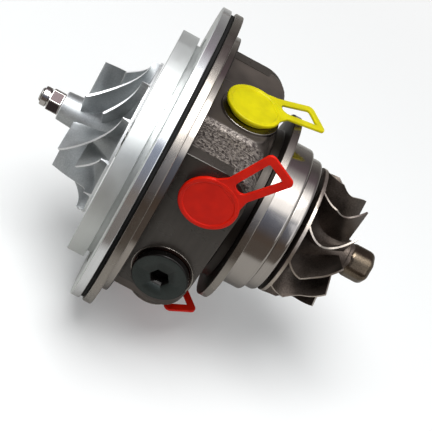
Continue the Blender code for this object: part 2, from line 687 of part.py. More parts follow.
def cut_countersinks(plate, name, places, circle, radius, head_radius, front_x, back_x):
    """Countersunk holes through a plate, one at each clock angle in places."""
    beyond = 0.0005
    for i, clock in enumerate(places):
        hole = radius + FASTENER_GAP
        mouth = head_radius + FASTENER_GAP
        profile = [
            (back_x + beyond, 0.0),
            (back_x + beyond, hole),
            (front_x + mouth - hole, hole),
            (front_x, mouth),
            (front_x - beyond, mouth),
            (front_x - beyond, 0.0),
        ]
        place = Matrix.Translation(on_clock(0, circle, clock)) @ ALONG_SHAFT
        boolean(plate, turned(f"{name}_{i}", profile, None, FACETS_TINY, CUTTERS, place))


def make_backplate():
    pocket_x = BACKPLATE_BACK_X - FLINGER_POCKET_DEPTH
    profile = [
        (BACKPLATE_BACK_X, FLINGER_POCKET_RADIUS),
        (BACKPLATE_BACK_X, BACKPLATE_FLANGE_RADIUS - EDGE_BREAK),
        (BACKPLATE_BACK_X - EDGE_BREAK, BACKPLATE_FLANGE_RADIUS),
        (BACKPLATE_FLANGE_FRONT_X + EDGE_BREAK, BACKPLATE_FLANGE_RADIUS),
        (BACKPLATE_FLANGE_FRONT_X, BACKPLATE_FLANGE_RADIUS - EDGE_BREAK),
        (BACKPLATE_FLANGE_FRONT_X, COVER_SEAT_RADIUS),
        (BACKPLATE_FLANGE_FRONT_X + COVER_SEAT_RELIEF, COVER_SEAT_RADIUS),
        (BACKPLATE_FLANGE_FRONT_X + COVER_SEAT_RELIEF, BACKPLATE_GROOVE_RADIUS),
        (BACKPLATE_DISC_BACK_X, BACKPLATE_GROOVE_RADIUS),
        (BACKPLATE_DISC_BACK_X, BACKPLATE_DISC_RADIUS),
        (BACKPLATE_FRONT_X + EDGE_BREAK, BACKPLATE_DISC_RADIUS),
        (BACKPLATE_FRONT_X, BACKPLATE_DISC_RADIUS - EDGE_BREAK),
        (BACKPLATE_FRONT_X, BACKPLATE_BORE_RADIUS),
        (pocket_x, BACKPLATE_BORE_RADIUS),
        (pocket_x, FLINGER_POCKET_RADIUS),
    ]
    plate = turned("compressor_backplate", profile, TURNED_ALUMINIUM, FACETS_BIG)
    places = clocks(BACKPLATE_SCREW_COUNT, BACKPLATE_SCREW_CLOCK)
    cut_countersinks(plate, "backplate_countersink", places, BACKPLATE_SCREW_CIRCLE, BACKPLATE_SCREW_RADIUS,
                     BACKPLATE_SCREW_HEAD_RADIUS, BACKPLATE_FRONT_X, BACKPLATE_BACK_X)
    for i, clock in enumerate(places):
        countersunk_screw(f"backplate_screw_{i + 1}", BACKPLATE_SCREW_RADIUS, BACKPLATE_SCREW_HEAD_RADIUS,
                          BACKPLATE_FRONT_X + SEAT_GAP, BACKPLATE_SCREW_GRIP, BACKPLATE_SCREW_CIRCLE, clock)
    seal = [
        (-SEAT_GAP, SEAL_RING_RADIUS - SEAL_RING_WIDTH),
        (-SEAT_GAP, SEAL_RING_RADIUS),
        (BACKPLATE_BACK_X + SEAT_GAP, SEAL_RING_RADIUS),
        (BACKPLATE_BACK_X + SEAT_GAP, SEAL_RING_RADIUS - SEAL_RING_WIDTH),
    ]
    turned("backplate_seal_ring", seal, BLACK_RUBBER, FACETS_BIG)


def split_ring(name, start, width, inner, outer, mouth, clock, material, facets=FACETS_SMALL):
    """A ring cut open at one place, such as a piston ring or a circlip."""
    profile = [(start + width, inner), (start + width, outer), (start, outer), (start, inner)]
    ring = turned(name, profile, material, facets)
    cut = block(name + "_mouth", (start - width, -mouth / 2, 0), (start + 2 * width, mouth / 2, 2 * outer))
    cut.matrix_world = Matrix.Rotation(-clock, 4, "X") @ Matrix.Translation(cut.location)
    boolean(ring, cut)
    return ring


def make_seal_rings():
    for name, start, groove_from, bore, clock in (
            ("compressor_piston_ring", FRONT_RING_X, SLEEVE_RADIUS, BACKPLATE_BORE_RADIUS, 0.0),
            ("turbine_piston_ring", REAR_RING_X, SEAL_BOSS_RADIUS, SEAL_BORE_RADIUS, math.pi / 2)):
        outer = bore - RUNNING_GAP
        split_ring(name, start + RING_SIDE_GAP, RING_WIDTH, groove_from - RING_DEPTH + RUNNING_GAP, outer,
                   RING_MOUTH, clock, SPRING_STEEL)


def make_bearings():
    outer = JOURNAL_RADIUS + RUNNING_GAP + BUSH_WALL
    inner = JOURNAL_RADIUS + RUNNING_GAP
    for name, start in (("front_journal_bearing", FRONT_BUSH_X), ("rear_journal_bearing", REAR_BUSH_X)):
        bush = turned(name, chamfered(start, start + BUSH_LENGTH, outer, inner), BEARING_BRONZE, FACETS_SMALL)
        middle = start + BUSH_LENGTH / 2
        for i in range(BUSH_OIL_HOLES):
            clock = 2 * math.pi * (i + 0.5) / BUSH_OIL_HOLES
            boolean(bush, cylinder(f"{name}_oil_hole_{i}", BUSH_OIL_HOLE_RADIUS,
                                   on_clock(middle, inner / 2, clock), on_clock(middle, 2 * outer, clock), 8))
    for i, start in enumerate(circlip_places()):
        split_ring(f"bearing_circlip_{i + 1}", start, CIRCLIP_THICKNESS, CIRCLIP_INNER_RADIUS,
                   CIRCLIP_GROOVE_RADIUS - SEAT_GAP, CIRCLIP_MOUTH, math.pi, SPRING_STEEL)


def make_thrust_end():
    plate = turned("thrust_bearing",
                   chamfered(THRUST_PLATE_FRONT_X, THRUST_PLATE_BACK_X, THRUST_RECESS_RADIUS - SEAT_GAP,
                             COLLAR_HUB_RADIUS + RUNNING_GAP), BEARING_BRONZE)
    places = clocks(THRUST_SCREW_COUNT, THRUST_SCREW_CLOCK)
    cut_countersinks(plate, "thrust_countersink", places, THRUST_SCREW_CIRCLE, THRUST_SCREW_RADIUS,
                     THRUST_SCREW_HEAD_RADIUS, THRUST_PLATE_FRONT_X, THRUST_PLATE_BACK_X)
    boolean(plate, block("thrust_notch", (THRUST_PLATE_FRONT_X - SEAT_GAP, -NOTCH_WIDTH / 2, -THRUST_RECESS_RADIUS),
                         (THRUST_PLATE_BACK_X + SEAT_GAP, NOTCH_WIDTH / 2, NOTCH_Z)))
    for i, clock in enumerate(places):
        countersunk_screw(f"thrust_bearing_screw_{i + 1}", THRUST_SCREW_RADIUS, THRUST_SCREW_HEAD_RADIUS,
                          THRUST_PLATE_FRONT_X + SEAT_GAP, THRUST_RECESS_DEPTH + THRUST_SCREW_GRIP,
                          THRUST_SCREW_CIRCLE, clock)
    make_oil_deflector()


def make_oil_deflector():
    """A pressed ring in front of the thrust bearing, with a tongue that leads oil down to the sump."""
    inner = SLEEVE_WAIST_RADIUS + 4 * RUNNING_GAP
    back = DEFLECTOR_X + DEFLECTOR_THICKNESS
    profile = [(back, inner), (back, DEFLECTOR_RADIUS), (DEFLECTOR_X, DEFLECTOR_RADIUS), (DEFLECTOR_X, inner)]
    ring = turned("oil_deflector", profile, SPRING_STEEL)
    low = (back - DEFLECTOR_THICKNESS / 2, -TONGUE_WIDTH / 2, -inner - TONGUE_DROP)
    high = (THRUST_PLATE_FRONT_X - SEAT_GAP, TONGUE_WIDTH / 2, -inner - TONGUE_DROP + DEFLECTOR_THICKNESS)
    boolean(ring, block("deflector_tongue", low, high), "UNION")


# Rotor

def make_shaft():
    rear_groove_radius = SEAL_BOSS_RADIUS - RING_DEPTH
    front_journal_end = FRONT_BUSH_X + BUSH_LENGTH + CIRCLIP_THICKNESS
    rear_journal_start = REAR_BUSH_X - CIRCLIP_THICKNESS
    groove_end = REAR_RING_X + RING_WIDTH + 2 * RING_SIDE_GAP
    profile = [
        (SHAFT_END_X + SPIGOT_LENGTH, 0.0),
        (SHAFT_END_X + SPIGOT_LENGTH, SPIGOT_RADIUS),
        (SHAFT_END_X, SPIGOT_RADIUS),
        (SHAFT_END_X, SEAL_BOSS_RADIUS),
        (groove_end, SEAL_BOSS_RADIUS),
        (groove_end, rear_groove_radius),
        (REAR_RING_X, rear_groove_radius),
        (REAR_RING_X, SEAL_BOSS_RADIUS),
        (SEAL_BOSS_START_X, SEAL_BOSS_RADIUS),
        (SEAL_BOSS_START_X, JOURNAL_RADIUS),
        (rear_journal_start, JOURNAL_RADIUS),
        (rear_journal_start - EDGE_BREAK, WAIST_RADIUS),
        (front_journal_end + EDGE_BREAK, WAIST_RADIUS),
        (front_journal_end, JOURNAL_RADIUS),
        (SHOULDER_X, JOURNAL_RADIUS),
        (SHOULDER_X, STUB_RADIUS),
        (STUB_END_X + EDGE_BREAK, STUB_RADIUS),
        (STUB_END_X, STUB_RADIUS - EDGE_BREAK),
        (STUB_END_X, 0.0),
    ]
    turned("rotor_shaft", profile, MACHINED_STEEL, FACETS_SMALL)


def make_sleeve_and_collar():
    bore = STUB_RADIUS + RUNNING_GAP
    groove_end = FRONT_RING_X + RING_WIDTH + 2 * RING_SIDE_GAP
    flinger_back = FLINGER_X + FLINGER_THICKNESS
    flange_front = SLEEVE_BACK_X - COLLAR_FLANGE_THICKNESS
    profile = [
        (SLEEVE_BACK_X, bore),
        (SLEEVE_BACK_X, COLLAR_FLANGE_RADIUS),
        (flange_front, COLLAR_FLANGE_RADIUS),
        (flange_front, SLEEVE_WAIST_RADIUS),
        (flinger_back, SLEEVE_WAIST_RADIUS),
        (flinger_back, FLINGER_RADIUS),
        (FLINGER_X, FLINGER_RADIUS),
        (FLINGER_X, SLEEVE_RADIUS),
        (groove_end, SLEEVE_RADIUS),
        (groove_end, SLEEVE_RADIUS - RING_DEPTH),
        (FRONT_RING_X, SLEEVE_RADIUS - RING_DEPTH),
        (FRONT_RING_X, SLEEVE_RADIUS),
        (SLEEVE_FRONT_X, SLEEVE_RADIUS),
        (SLEEVE_FRONT_X, bore),
    ]
    turned("flinger_sleeve", profile, MACHINED_STEEL, FACETS_SMALL)
    collar = [
        (COLLAR_BACK_X, bore),
        (COLLAR_BACK_X, COLLAR_FLANGE_RADIUS),
        (COLLAR_FLANGE_X, COLLAR_FLANGE_RADIUS),
        (COLLAR_FLANGE_X, COLLAR_HUB_RADIUS),
        (COLLAR_FRONT_X, COLLAR_HUB_RADIUS),
        (COLLAR_FRONT_X, bore),
    ]
    turned("thrust_collar", collar, MACHINED_STEEL, FACETS_SMALL)


def blade_loft(bm, stations, tip_thickness, root_thickness):
    """One blade through stations of (root, tip, chordwise direction): four-cornered sections joined in order."""
    sections = []
    for root, tip, chord in stations:
        across = chord.cross(tip - root).normalized()
        sections.append([bm.verts.new(p) for p in (
            root - across * root_thickness / 2, root + across * root_thickness / 2,
            tip + across * tip_thickness / 2, tip - across * tip_thickness / 2)])
    for one, two in zip(sections, sections[1:]):
        for i in range(4):
            j = (i + 1) % 4
            bm.faces.new((one[i], one[j], two[j], two[i]))
    bm.faces.new(reversed(sections[0]))
    bm.faces.new(sections[-1])


def with_chord(pairs):
    """Adds to each (root, tip) pair the direction in which the blade runs there."""
    middles = [(root + tip) / 2 for root, tip in pairs]
    stations = []
    for i, (root, tip) in enumerate(pairs):
        before = middles[max(i - 1, 0)]
        after = middles[min(i + 1, len(middles) - 1)]
        stations.append((root, tip, (after - before).normalized()))
    return stations


def compressor_hub_point(m):
    """(x, radius) on the hub's curve, m from 0 at the leading edge to 1 at the rim."""
    angle = m * math.pi / 2
    reach = WHEEL_RIM_X - INDUCER_X
    return (INDUCER_X + reach * math.sin(angle),
            EXDUCER_RADIUS - (EXDUCER_RADIUS - WHEEL_HUB_RADIUS) * math.cos(angle))


def compressor_tip_point(m):
    """(x, radius) on the blade tips' curve."""
    angle = m * math.pi / 2
    reach = EXDUCER_TIP_X - INDUCER_X
    return (INDUCER_X + reach * math.sin(angle),
            EXDUCER_RADIUS - (EXDUCER_RADIUS - INDUCER_RADIUS) * math.cos(angle))


def compressor_blades():
    """Full blades and splitters in turn, all with the same back-swept curve."""
    sunk = 0.0006
    steps = BLADE_STEPS
    bm = bmesh.new()
    for i in range(2 * FULL_BLADES):
        first = 0.0 if i % 2 == 0 else SPLITTER_START
        clock = COMPRESSOR_CLOCK + math.pi * i / FULL_BLADES
        pairs = []
        for step in range(steps + 1):
            m = first + (1 - first) * step / steps
            turn = clock - COMPRESSOR_SWEEP * (1 - m) - COMPRESSOR_CURL * (1 - m) ** 2
            hub_x, hub_radius = compressor_hub_point(m)
            tip_x, tip_radius = compressor_tip_point(m)
            root = on_clock(hub_x + (sunk if m > 0.5 else 0.0), hub_radius - (sunk if m <= 0.5 else 0.0), turn)
            pairs.append((root, on_clock(tip_x, tip_radius, turn)))
        blade_loft(bm, with_chord(pairs), COMPRESSOR_TIP_THICKNESS, COMPRESSOR_ROOT_THICKNESS)
    return add_object("compressor_blades", mesh_from(bm, "compressor_blades"), None, CUTTERS)


def make_compressor_wheel():
    bore = STUB_RADIUS + RUNNING_GAP
    curve = [compressor_hub_point(1 - i / HUB_STEPS) for i in range(HUB_STEPS + 1)]
    profile = [(WHEEL_BACK_X, bore), (WHEEL_BACK_X, EXDUCER_RADIUS)]
    profile += curve
    profile += [(WHEEL_NOSE_X, WHEEL_NOSE_RADIUS), (WHEEL_NOSE_X, bore)]
    wheel = turned("compressor_wheel", profile, CAST_ALUMINIUM, FACETS_MEDIUM)
    boolean(wheel, compressor_blades(), "UNION")


def make_compressor_nut():
    """A hexagon nut with a round collar towards the shaft's end."""
    bore = STUB_RADIUS + RUNNING_GAP
    back = WHEEL_NOSE_X - SEAT_GAP
    front = back - NUT_LENGTH
    nut = cylinder("compressor_nut", NUT_ACROSS_CORNERS / 2, (front, 0, 0), (back, 0, 0), 6, BLACK_STEEL, PARTS)
    nut.matrix_world = nut.matrix_world @ Matrix.Rotation(NUT_CLOCK, 4, "Z")
    collar = cylinder("nut_collar", NUT_COLLAR_RADIUS, (front - NUT_COLLAR_LENGTH, 0, 0),
                      (front + EDGE_BREAK, 0, 0), FACETS_SMALL)
    boolean(nut, collar, "UNION")
    boolean(nut, cylinder("nut_bore", bore, (front - 2 * NUT_COLLAR_LENGTH, 0, 0), (back + NUT_LENGTH, 0, 0)))


def turbine_hub_point(m):
    """(x, radius) on the turbine hub's curve, m from 0 at the back disc to 1 at the nose."""
    angle = (1 - m) * math.pi / 2
    reach = TURBINE_HUB_X - TURBINE_DISC_FRONT_X
    return (TURBINE_HUB_X - reach * math.sin(angle),
            TURBINE_RADIUS - (TURBINE_RADIUS - TURBINE_HUB_RADIUS) * math.cos(angle))


def turbine_tip_radius(x):
    """The radius of the blade tips at a place along the shaft."""
    bend_start = TURBINE_DISC_FRONT_X + TURBINE_INLET_WIDTH
    if x <= bend_start:
        return TURBINE_RADIUS
    if x >= TURBINE_SHROUD_X:
        return TURBINE_EXIT_RADIUS
    share = (x - bend_start) / (TURBINE_SHROUD_X - bend_start)
    drop = TURBINE_RADIUS - TURBINE_EXIT_RADIUS
    return TURBINE_RADIUS - drop * math.sin(share * math.pi / 2)


def turbine_hub_radius(x):
    """The hub's radius at a place along the shaft."""
    reach = TURBINE_HUB_X - TURBINE_DISC_FRONT_X
    share = min(max((TURBINE_HUB_X - x) / reach, 0.0), 1.0)
    return TURBINE_RADIUS - (TURBINE_RADIUS - TURBINE_HUB_RADIUS) * math.sqrt(1 - share ** 2)


def turbine_turn(x):
    """How far a blade has turned at a place along the shaft."""
    return TURBINE_WRAP_START + TURBINE_WRAP_RATE * (x - TURBINE_WRAP_X) ** 2


def turbine_blades():
    sunk = 0.0008
    steps = BLADE_STEPS
    start = TURBINE_DISC_FRONT_X - TURBINE_DISC_THICKNESS / 2
    bm = bmesh.new()
    for i in range(TURBINE_BLADES):
        clock = TURBINE_CLOCK + 2 * math.pi * i / TURBINE_BLADES
        pairs = []
        for step in range(steps + 1):
            x = start + (TURBINE_EXIT_X - start) * step / steps
            turn = clock + turbine_turn(x)
            hub = max(min(turbine_hub_radius(x), TURBINE_RADIUS - 3 * sunk) - sunk, TURBINE_HUB_RADIUS - sunk)
            pairs.append((on_clock(x, hub, turn), on_clock(x, turbine_tip_radius(x), turn)))
        blade_loft(bm, with_chord(pairs), TURBINE_TIP_THICKNESS, TURBINE_ROOT_THICKNESS)
    return add_object("turbine_blades", mesh_from(bm, "turbine_blades"), None, CUTTERS)


def nose_block():
    """The rounded hexagon cast on the wheel's nose."""
    block_ends = (NOSE_BLOCK_X, NOSE_BLOCK_X + NOSE_BLOCK_LENGTH)
    nose = cylinder("nose_block", NOSE_BLOCK_RADIUS, (block_ends[0], 0, 0), (block_ends[1], 0, 0), 6)
    bm = bmesh.new()
    bm.from_mesh(nose.data)
    bmesh.ops.bevel(bm, geom=bm.edges[:], offset=NOSE_BLOCK_ROUNDING, segments=2, profile=0.5, affect="EDGES")
    bm.to_mesh(nose.data)
    bm.free()
    return nose


def make_turbine_wheel():
    curve = [turbine_hub_point(1 - i / HUB_STEPS) for i in range(HUB_STEPS + 1)]
    socket_radius = SPIGOT_RADIUS + SEAT_GAP
    socket_end = SHAFT_END_X + SPIGOT_LENGTH + SEAT_GAP
    boss_back = SHAFT_END_X + SEAT_GAP
    end = NOSE_BLOCK_X + NOSE_BLOCK_LENGTH / 2
    profile = [(end, 0.0), (end, TURBINE_HUB_RADIUS - EDGE_BREAK)]
    profile += curve
    profile += [
        (TURBINE_BACK_X, TURBINE_RADIUS),
        (TURBINE_BACK_X, SEAL_BOSS_RADIUS),
        (boss_back, SEAL_BOSS_RADIUS),
        (boss_back, socket_radius),
        (socket_end, socket_radius),
        (socket_end, 0.0),
    ]
    wheel = turned("turbine_wheel", profile, NICKEL_ALLOY, FACETS_MEDIUM)
    boolean(wheel, turbine_blades(), "UNION")
    boolean(wheel, nose_block(), "UNION")


# Heat shield

def make_heat_shield():
    """A pressed cup over the housing's snout: wide skirt, rounded step, narrower lip and a flat face."""
    quarter = math.pi / 2
    wide = SHIELD_RADIUS
    lip = SHIELD_LIP_RADIUS
    bend = SHIELD_ROUNDING
    wall = SHIELD_WALL
    start = SHIELD_RECESS_X + SEAT_GAP
    profile = [(SHIELD_END_X, SHIELD_HOLE_RADIUS)]
    profile += arc((SHIELD_END_X - bend, lip - bend), (bend, bend), 0.0, quarter, BEND_STEPS)
    profile += [(SHIELD_SHOULDER_X, lip)]
    profile += arc((SHIELD_SHOULDER_X - bend, wide - bend), (bend, bend), 0.0, quarter, BEND_STEPS)
    profile += [
        (start, wide),
        (start, wide - wall),
        (SHIELD_SHOULDER_X - bend, wide - wall),
        (SHIELD_SHOULDER_X - wall, lip - wall),
        (SHIELD_END_X - bend, lip - wall),
        (SHIELD_END_X - wall, lip - bend),
        (SHIELD_END_X - wall, SHIELD_HOLE_RADIUS),
    ]
    turned("heat_shield", profile, STAINLESS_SHEET, FACETS_BIG)


# Plug and caps

def make_plug():
    """The screw plug that closes the second water port, and the washer under its head."""
    outward = Vector((0, -1, 0))
    face = Vector((PLUG_X, -BOSS_FACE_Y, PLUG_Z))
    place = place_along(face, outward)
    under = 2 * SEAT_GAP + WASHER_THICKNESS
    top = under + PLUG_HEAD_THICKNESS
    shank = WATER_PORT_RADIUS - FASTENER_GAP
    profile = [
        (top, 0.0),
        (top, PLUG_HEAD_RADIUS - EDGE_BREAK),
        (top - EDGE_BREAK, PLUG_HEAD_RADIUS),
        (under, PLUG_HEAD_RADIUS),
        (under, shank),
        (-PLUG_SHANK_LENGTH + EDGE_BREAK, shank),
        (-PLUG_SHANK_LENGTH, shank - EDGE_BREAK),
        (-PLUG_SHANK_LENGTH, 0.0),
    ]
    plug = turned("water_port_plug", profile, BLACK_STEEL, FACETS_SMALL, PARTS, place)
    socket = cylinder("plug_socket", PLUG_SOCKET_RADIUS, face + outward * (top - PLUG_SOCKET_DEPTH),
                      face + outward * (top + EDGE_BREAK), 6)
    boolean(plug, socket)
    inner = WATER_PORT_RADIUS + FASTENER_GAP
    outer = inner + WASHER_WIDTH
    high = SEAT_GAP + WASHER_THICKNESS
    washer = [(high, inner), (high, outer), (SEAT_GAP, outer), (SEAT_GAP, inner)]
    turned("plug_seal_washer", washer, COPPER, FACETS_SMALL, PARTS, place)


def tab_outlines(reach, edge):
    """The pull loop's outside and hole, drawn along local X from the cap's disc."""
    near = TAB_NEAR_HALF_WIDTH
    far = TAB_FAR_HALF_WIDTH
    strut = TAB_STRUT
    start = edge - TAB_STRUT
    corner = TAB_STRUT / 2
    outside = [(start, -near), (reach - corner, -far), (reach, -far + corner),
               (reach, far - corner), (reach - corner, far), (start, near)]
    hole_start = edge + strut / 2
    slope = (far - near) / (reach - start)
    inner_near = near + slope * (hole_start - start) - strut
    inner_far = far - strut - slope * strut
    hole = [(hole_start, -inner_near), (reach - strut, -inner_far), (reach - strut, inner_far),
            (hole_start, inner_near)]
    return outside, hole


def make_cap(name, face, outward, port_radius, radius, material, tab_angle, reach=TAB_REACH, droop=0.0):
    """A push-in cap: dished disc, collar, hollow tapered stem, and a pull loop at the disc's edge."""
    place = place_along(face, outward)
    top = SEAT_GAP + CAP_COLLAR_HEIGHT + CAP_THICKNESS
    under = SEAT_GAP + CAP_COLLAR_HEIGHT
    stem = port_radius - CAP_STEM_GAP
    tip = stem - CAP_STEM_TAPER
    collar = CAP_COLLAR_RADIUS + radius - CAP_RADIUS
    inside = tip - CAP_STEM_WALL
    profile = [
        (top - CAP_DISH, 0.0),
        (top - CAP_DISH, radius - CAP_RIM_WIDTH - CAP_DISH),
        (top, radius - CAP_RIM_WIDTH),
        (top, radius - EDGE_BREAK),
        (top - EDGE_BREAK, radius),
        (under, radius),
        (under, collar),
        (SEAT_GAP, collar),
        (SEAT_GAP, stem),
        (-CAP_STEM_LENGTH, tip),
        (-CAP_STEM_LENGTH, inside),
        (under, inside),
        (under, 0.0),
    ]
    cap = turned(name, profile, material, FACETS_SMALL, PARTS, place)
    tab = flat_plate(name + "_tab", tab_outlines(reach, radius), CAP_THICKNESS - 2 * CAP_DISH)
    middle = under + CAP_THICKNESS / 2
    bend = Matrix.Translation((radius - TAB_STRUT / 2, 0, middle)) @ Matrix.Rotation(droop, 4, "Y")
    bend = bend @ Matrix.Translation((-radius + TAB_STRUT / 2, 0, 0))
    tab.matrix_world = place @ Matrix.Rotation(tab_angle, 4, "Z") @ bend
    boolean(cap, tab, "UNION")
    return cap


def make_caps():
    up = Vector((0, 0, 1))
    near = Vector((0, -1, 0))
    make_cap("oil_inlet_cap", (PORT_X, 0, OIL_BOSS_FACE_Z), up, OIL_PORT_RADIUS, CAP_RADIUS, YELLOW_PLASTIC,
             INLET_TAB_ANGLE, droop=INLET_TAB_DROOP)
    make_cap("water_port_cap", (PORT_X, -BOSS_FACE_Y, WATER_PORT_Z), near, WATER_PORT_RADIUS, CAP_RADIUS,
             RED_PLASTIC, WATER_TAB_ANGLE)
    make_cap("water_outlet_cap", (PORT_X, BOSS_FACE_Y, PLUG_Z), -near, WATER_PORT_RADIUS, CAP_RADIUS,
             RED_PLASTIC, OUTLET_TAB_ANGLE)
    make_cap("oil_drain_cap", (PORT_X, 0, DRAIN_FACE_Z), -up, DRAIN_RADIUS, DRAIN_CAP_RADIUS, RED_PLASTIC,
             DRAIN_TAB_ANGLE, DRAIN_CAP_TAB_REACH)


make_bearing_housing()
make_backplate()
make_seal_rings()
make_bearings()
make_thrust_end()
make_shaft()
make_sleeve_and_collar()
make_compressor_wheel()
make_compressor_nut()
make_turbine_wheel()
make_heat_shield()
make_plug()
make_caps()
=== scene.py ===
"""The looks of a turbo cartridge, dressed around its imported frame.

Units are metres. The shaft lies along X with the turbine at +X. +Z points out of the oil inlet, and -Y is the side
with the water port and the screw plug. A clock angle is measured round the shaft from +Z towards +Y.
"""

import math

import bmesh
import bpy
from mathutils import Matrix, Vector


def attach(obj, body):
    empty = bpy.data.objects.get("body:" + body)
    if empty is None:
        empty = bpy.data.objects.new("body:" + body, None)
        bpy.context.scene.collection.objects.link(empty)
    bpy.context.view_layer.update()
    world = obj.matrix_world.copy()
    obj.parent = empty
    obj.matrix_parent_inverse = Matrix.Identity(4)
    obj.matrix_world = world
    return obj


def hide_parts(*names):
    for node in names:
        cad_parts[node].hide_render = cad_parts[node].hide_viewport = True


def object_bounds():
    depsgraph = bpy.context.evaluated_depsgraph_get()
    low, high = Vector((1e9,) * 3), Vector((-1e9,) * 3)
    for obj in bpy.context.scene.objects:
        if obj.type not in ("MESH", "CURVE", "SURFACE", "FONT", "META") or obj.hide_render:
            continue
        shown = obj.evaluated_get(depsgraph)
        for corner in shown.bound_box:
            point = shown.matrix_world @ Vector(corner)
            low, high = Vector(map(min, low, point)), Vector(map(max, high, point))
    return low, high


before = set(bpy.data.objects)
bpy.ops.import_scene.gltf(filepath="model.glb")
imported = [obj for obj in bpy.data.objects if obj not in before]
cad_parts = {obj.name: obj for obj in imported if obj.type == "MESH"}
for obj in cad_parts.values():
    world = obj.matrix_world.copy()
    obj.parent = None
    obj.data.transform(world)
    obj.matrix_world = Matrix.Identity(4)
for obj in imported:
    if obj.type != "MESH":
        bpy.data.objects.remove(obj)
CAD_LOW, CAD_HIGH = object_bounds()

MM = 0.001

# Fineness
ROUND_STEPS = 192
SMALL_ROUND_STEPS = 96
FILLET_STEPS = 4
HUB_STEPS = 40
CAST_VOXEL = 0.55 * MM

# Housing flange and casting
FLANGE_RADIUS = 53.8 * MM
FLANGE_THICKNESS = 2.9 * MM
STEP_RADIUS = 47.4 * MM
STEP_END_X = 5.5 * MM
RECESS_RADIUS = 17.5 * MM
RECESS_DEPTH = 5.0 * MM
BODY_END_X = 29.2 * MM
BODY_HALF_WIDTH = 31.4 * MM
BODY_TOP_Z = 31.0 * MM
BODY_BOTTOM_Z = -30.4 * MM
PLATFORM_Z = 32.2 * MM
PLATFORM_HALF_WIDTH = 12.6 * MM
PAD_RADIUS = 10.7 * MM
PAD_ROOT_Y = 28.0 * MM
NECK_RADIUS = 28.5 * MM
BORE_RADIUS = 5.9 * MM
COLLAR_CHAMBER_RADIUS = 10.5 * MM
COLLAR_CHAMBER_END_X = 8.2 * MM

# Turbine flange, clamp groove and snout
GROOVE_X = 30.0 * MM
GROOVE_RADIUS = 27.5 * MM
TURBINE_FLANGE_X = 33.1 * MM
TURBINE_FLANGE_END_X = 36.0 * MM
TURBINE_FLANGE_RADIUS = 34.2 * MM
TURBINE_RECESS_X = 35.7 * MM
TURBINE_RECESS_RADIUS = 27.5 * MM
SNOUT_RADIUS = 12.5 * MM
SNOUT_END_X = 44.0 * MM
SEAL_BORE_RADIUS = 8.4 * MM
CHAMBER_RADIUS = 10.5 * MM
CHAMBER_START_X = 34.8 * MM
CHAMBER_END_X = 37.2 * MM

# Ports
PORT_X = 18.5 * MM
BOSS_RADIUS = 10.2 * MM
BOSS_FACE_Y = 32.7 * MM
BOSS_FACE_Z = 33.1 * MM
OIL_PORT_RADIUS = 5.6 * MM
WATER_PORT_RADIUS = 6.5 * MM
WATER_PORT_Z = 20.5 * MM
PLUG_X = 17.9 * MM
PLUG_Z = -15.2 * MM
DRAIN_FACE_Z = -34.0 * MM
DRAIN_RADIUS = 7.9 * MM
DRAIN_TOP_Z = -8.5 * MM
DRAIN_LOBE_RADIUS = 12.8 * MM
DRAIN_EAR_RADIUS = 8.5 * MM
DRAIN_BOLT_SPACING = 42.0 * MM
DRAIN_BOLT_RADIUS = 3.4 * MM
PORT_DEPTH = 9.0 * MM

# Backplate
PLATE_BACK_X = -1.4 * MM
PLATE_FLANGE_X = -4.6 * MM
PLATE_DISC_BACK_X = -6.4 * MM
PLATE_FRONT_X = -12.5 * MM
PLATE_FLANGE_RADIUS = 53.7 * MM
PLATE_GROOVE_RADIUS = 38.6 * MM
PLATE_SEAT_RADIUS = 42.0 * MM
PLATE_SEAT_X = -4.3 * MM
PLATE_DISC_RADIUS = 41.0 * MM
PLATE_BORE_RADIUS = 7.3 * MM
PLATE_POCKET_RADIUS = 14.0 * MM
PLATE_POCKET_X = -4.8 * MM

# Compressor wheel and nut
WHEEL_BACK_X = -12.9 * MM
WHEEL_RIM_X = -13.7 * MM
EXDUCER_RADIUS = 28.0 * MM
EXDUCER_TIP_X = -16.2 * MM
INDUCER_RADIUS = 19.6 * MM
INDUCER_X = -29.8 * MM
WHEEL_HUB_RADIUS = 5.6 * MM
WHEEL_NOSE_RADIUS = 5.1 * MM
WHEEL_NOSE_X = -36.0 * MM
STUB_BORE = 2.65 * MM
FULL_BLADES = 6
SPLITTER_START = 0.31
COMPRESSOR_SWEEP = math.radians(24.6)
COMPRESSOR_CURL = math.radians(28.4)
COMPRESSOR_CLOCK = math.radians(-41.5)
TIP_SQUARENESS = 0.8
BLADE_TIP = 0.72 * MM
BLADE_ROOT = 1.2 * MM
BLADE_FILLET = 1.3 * MM
NUT_BACK_X = -36.2 * MM
NUT_FRONT_X = -40.5 * MM
NUT_END_X = -43.1 * MM
NUT_CORNER_RADIUS = 4.2 * MM
NUT_COLLAR_RADIUS = 3.4 * MM
NUT_CLOCK = math.radians(-30)

# Shaft
STUB_RADIUS = 2.5 * MM
STUB_END_X = -43.9 * MM
STUB_THREAD_X = -35.0 * MM
STUB_PITCH = 0.7 * MM
SHAFT_SHOULDER_X = 6.45 * MM
JOURNAL_RADIUS = 3.5 * MM
WAIST_RADIUS = 3.2 * MM
WAIST_START_X = 19.6 * MM
WAIST_END_X = 24.0 * MM
SEAL_BOSS_START_X = 37.6 * MM
SEAL_BOSS_RADIUS = 8.1 * MM
REAR_RING_X = 40.4 * MM
REAR_RING_END_X = 42.0 * MM
REAR_RING_RADIUS = 6.8 * MM
SHAFT_END_X = 48.5 * MM
SPIGOT_RADIUS = 4.0 * MM
SPIGOT_END_X = 54.5 * MM

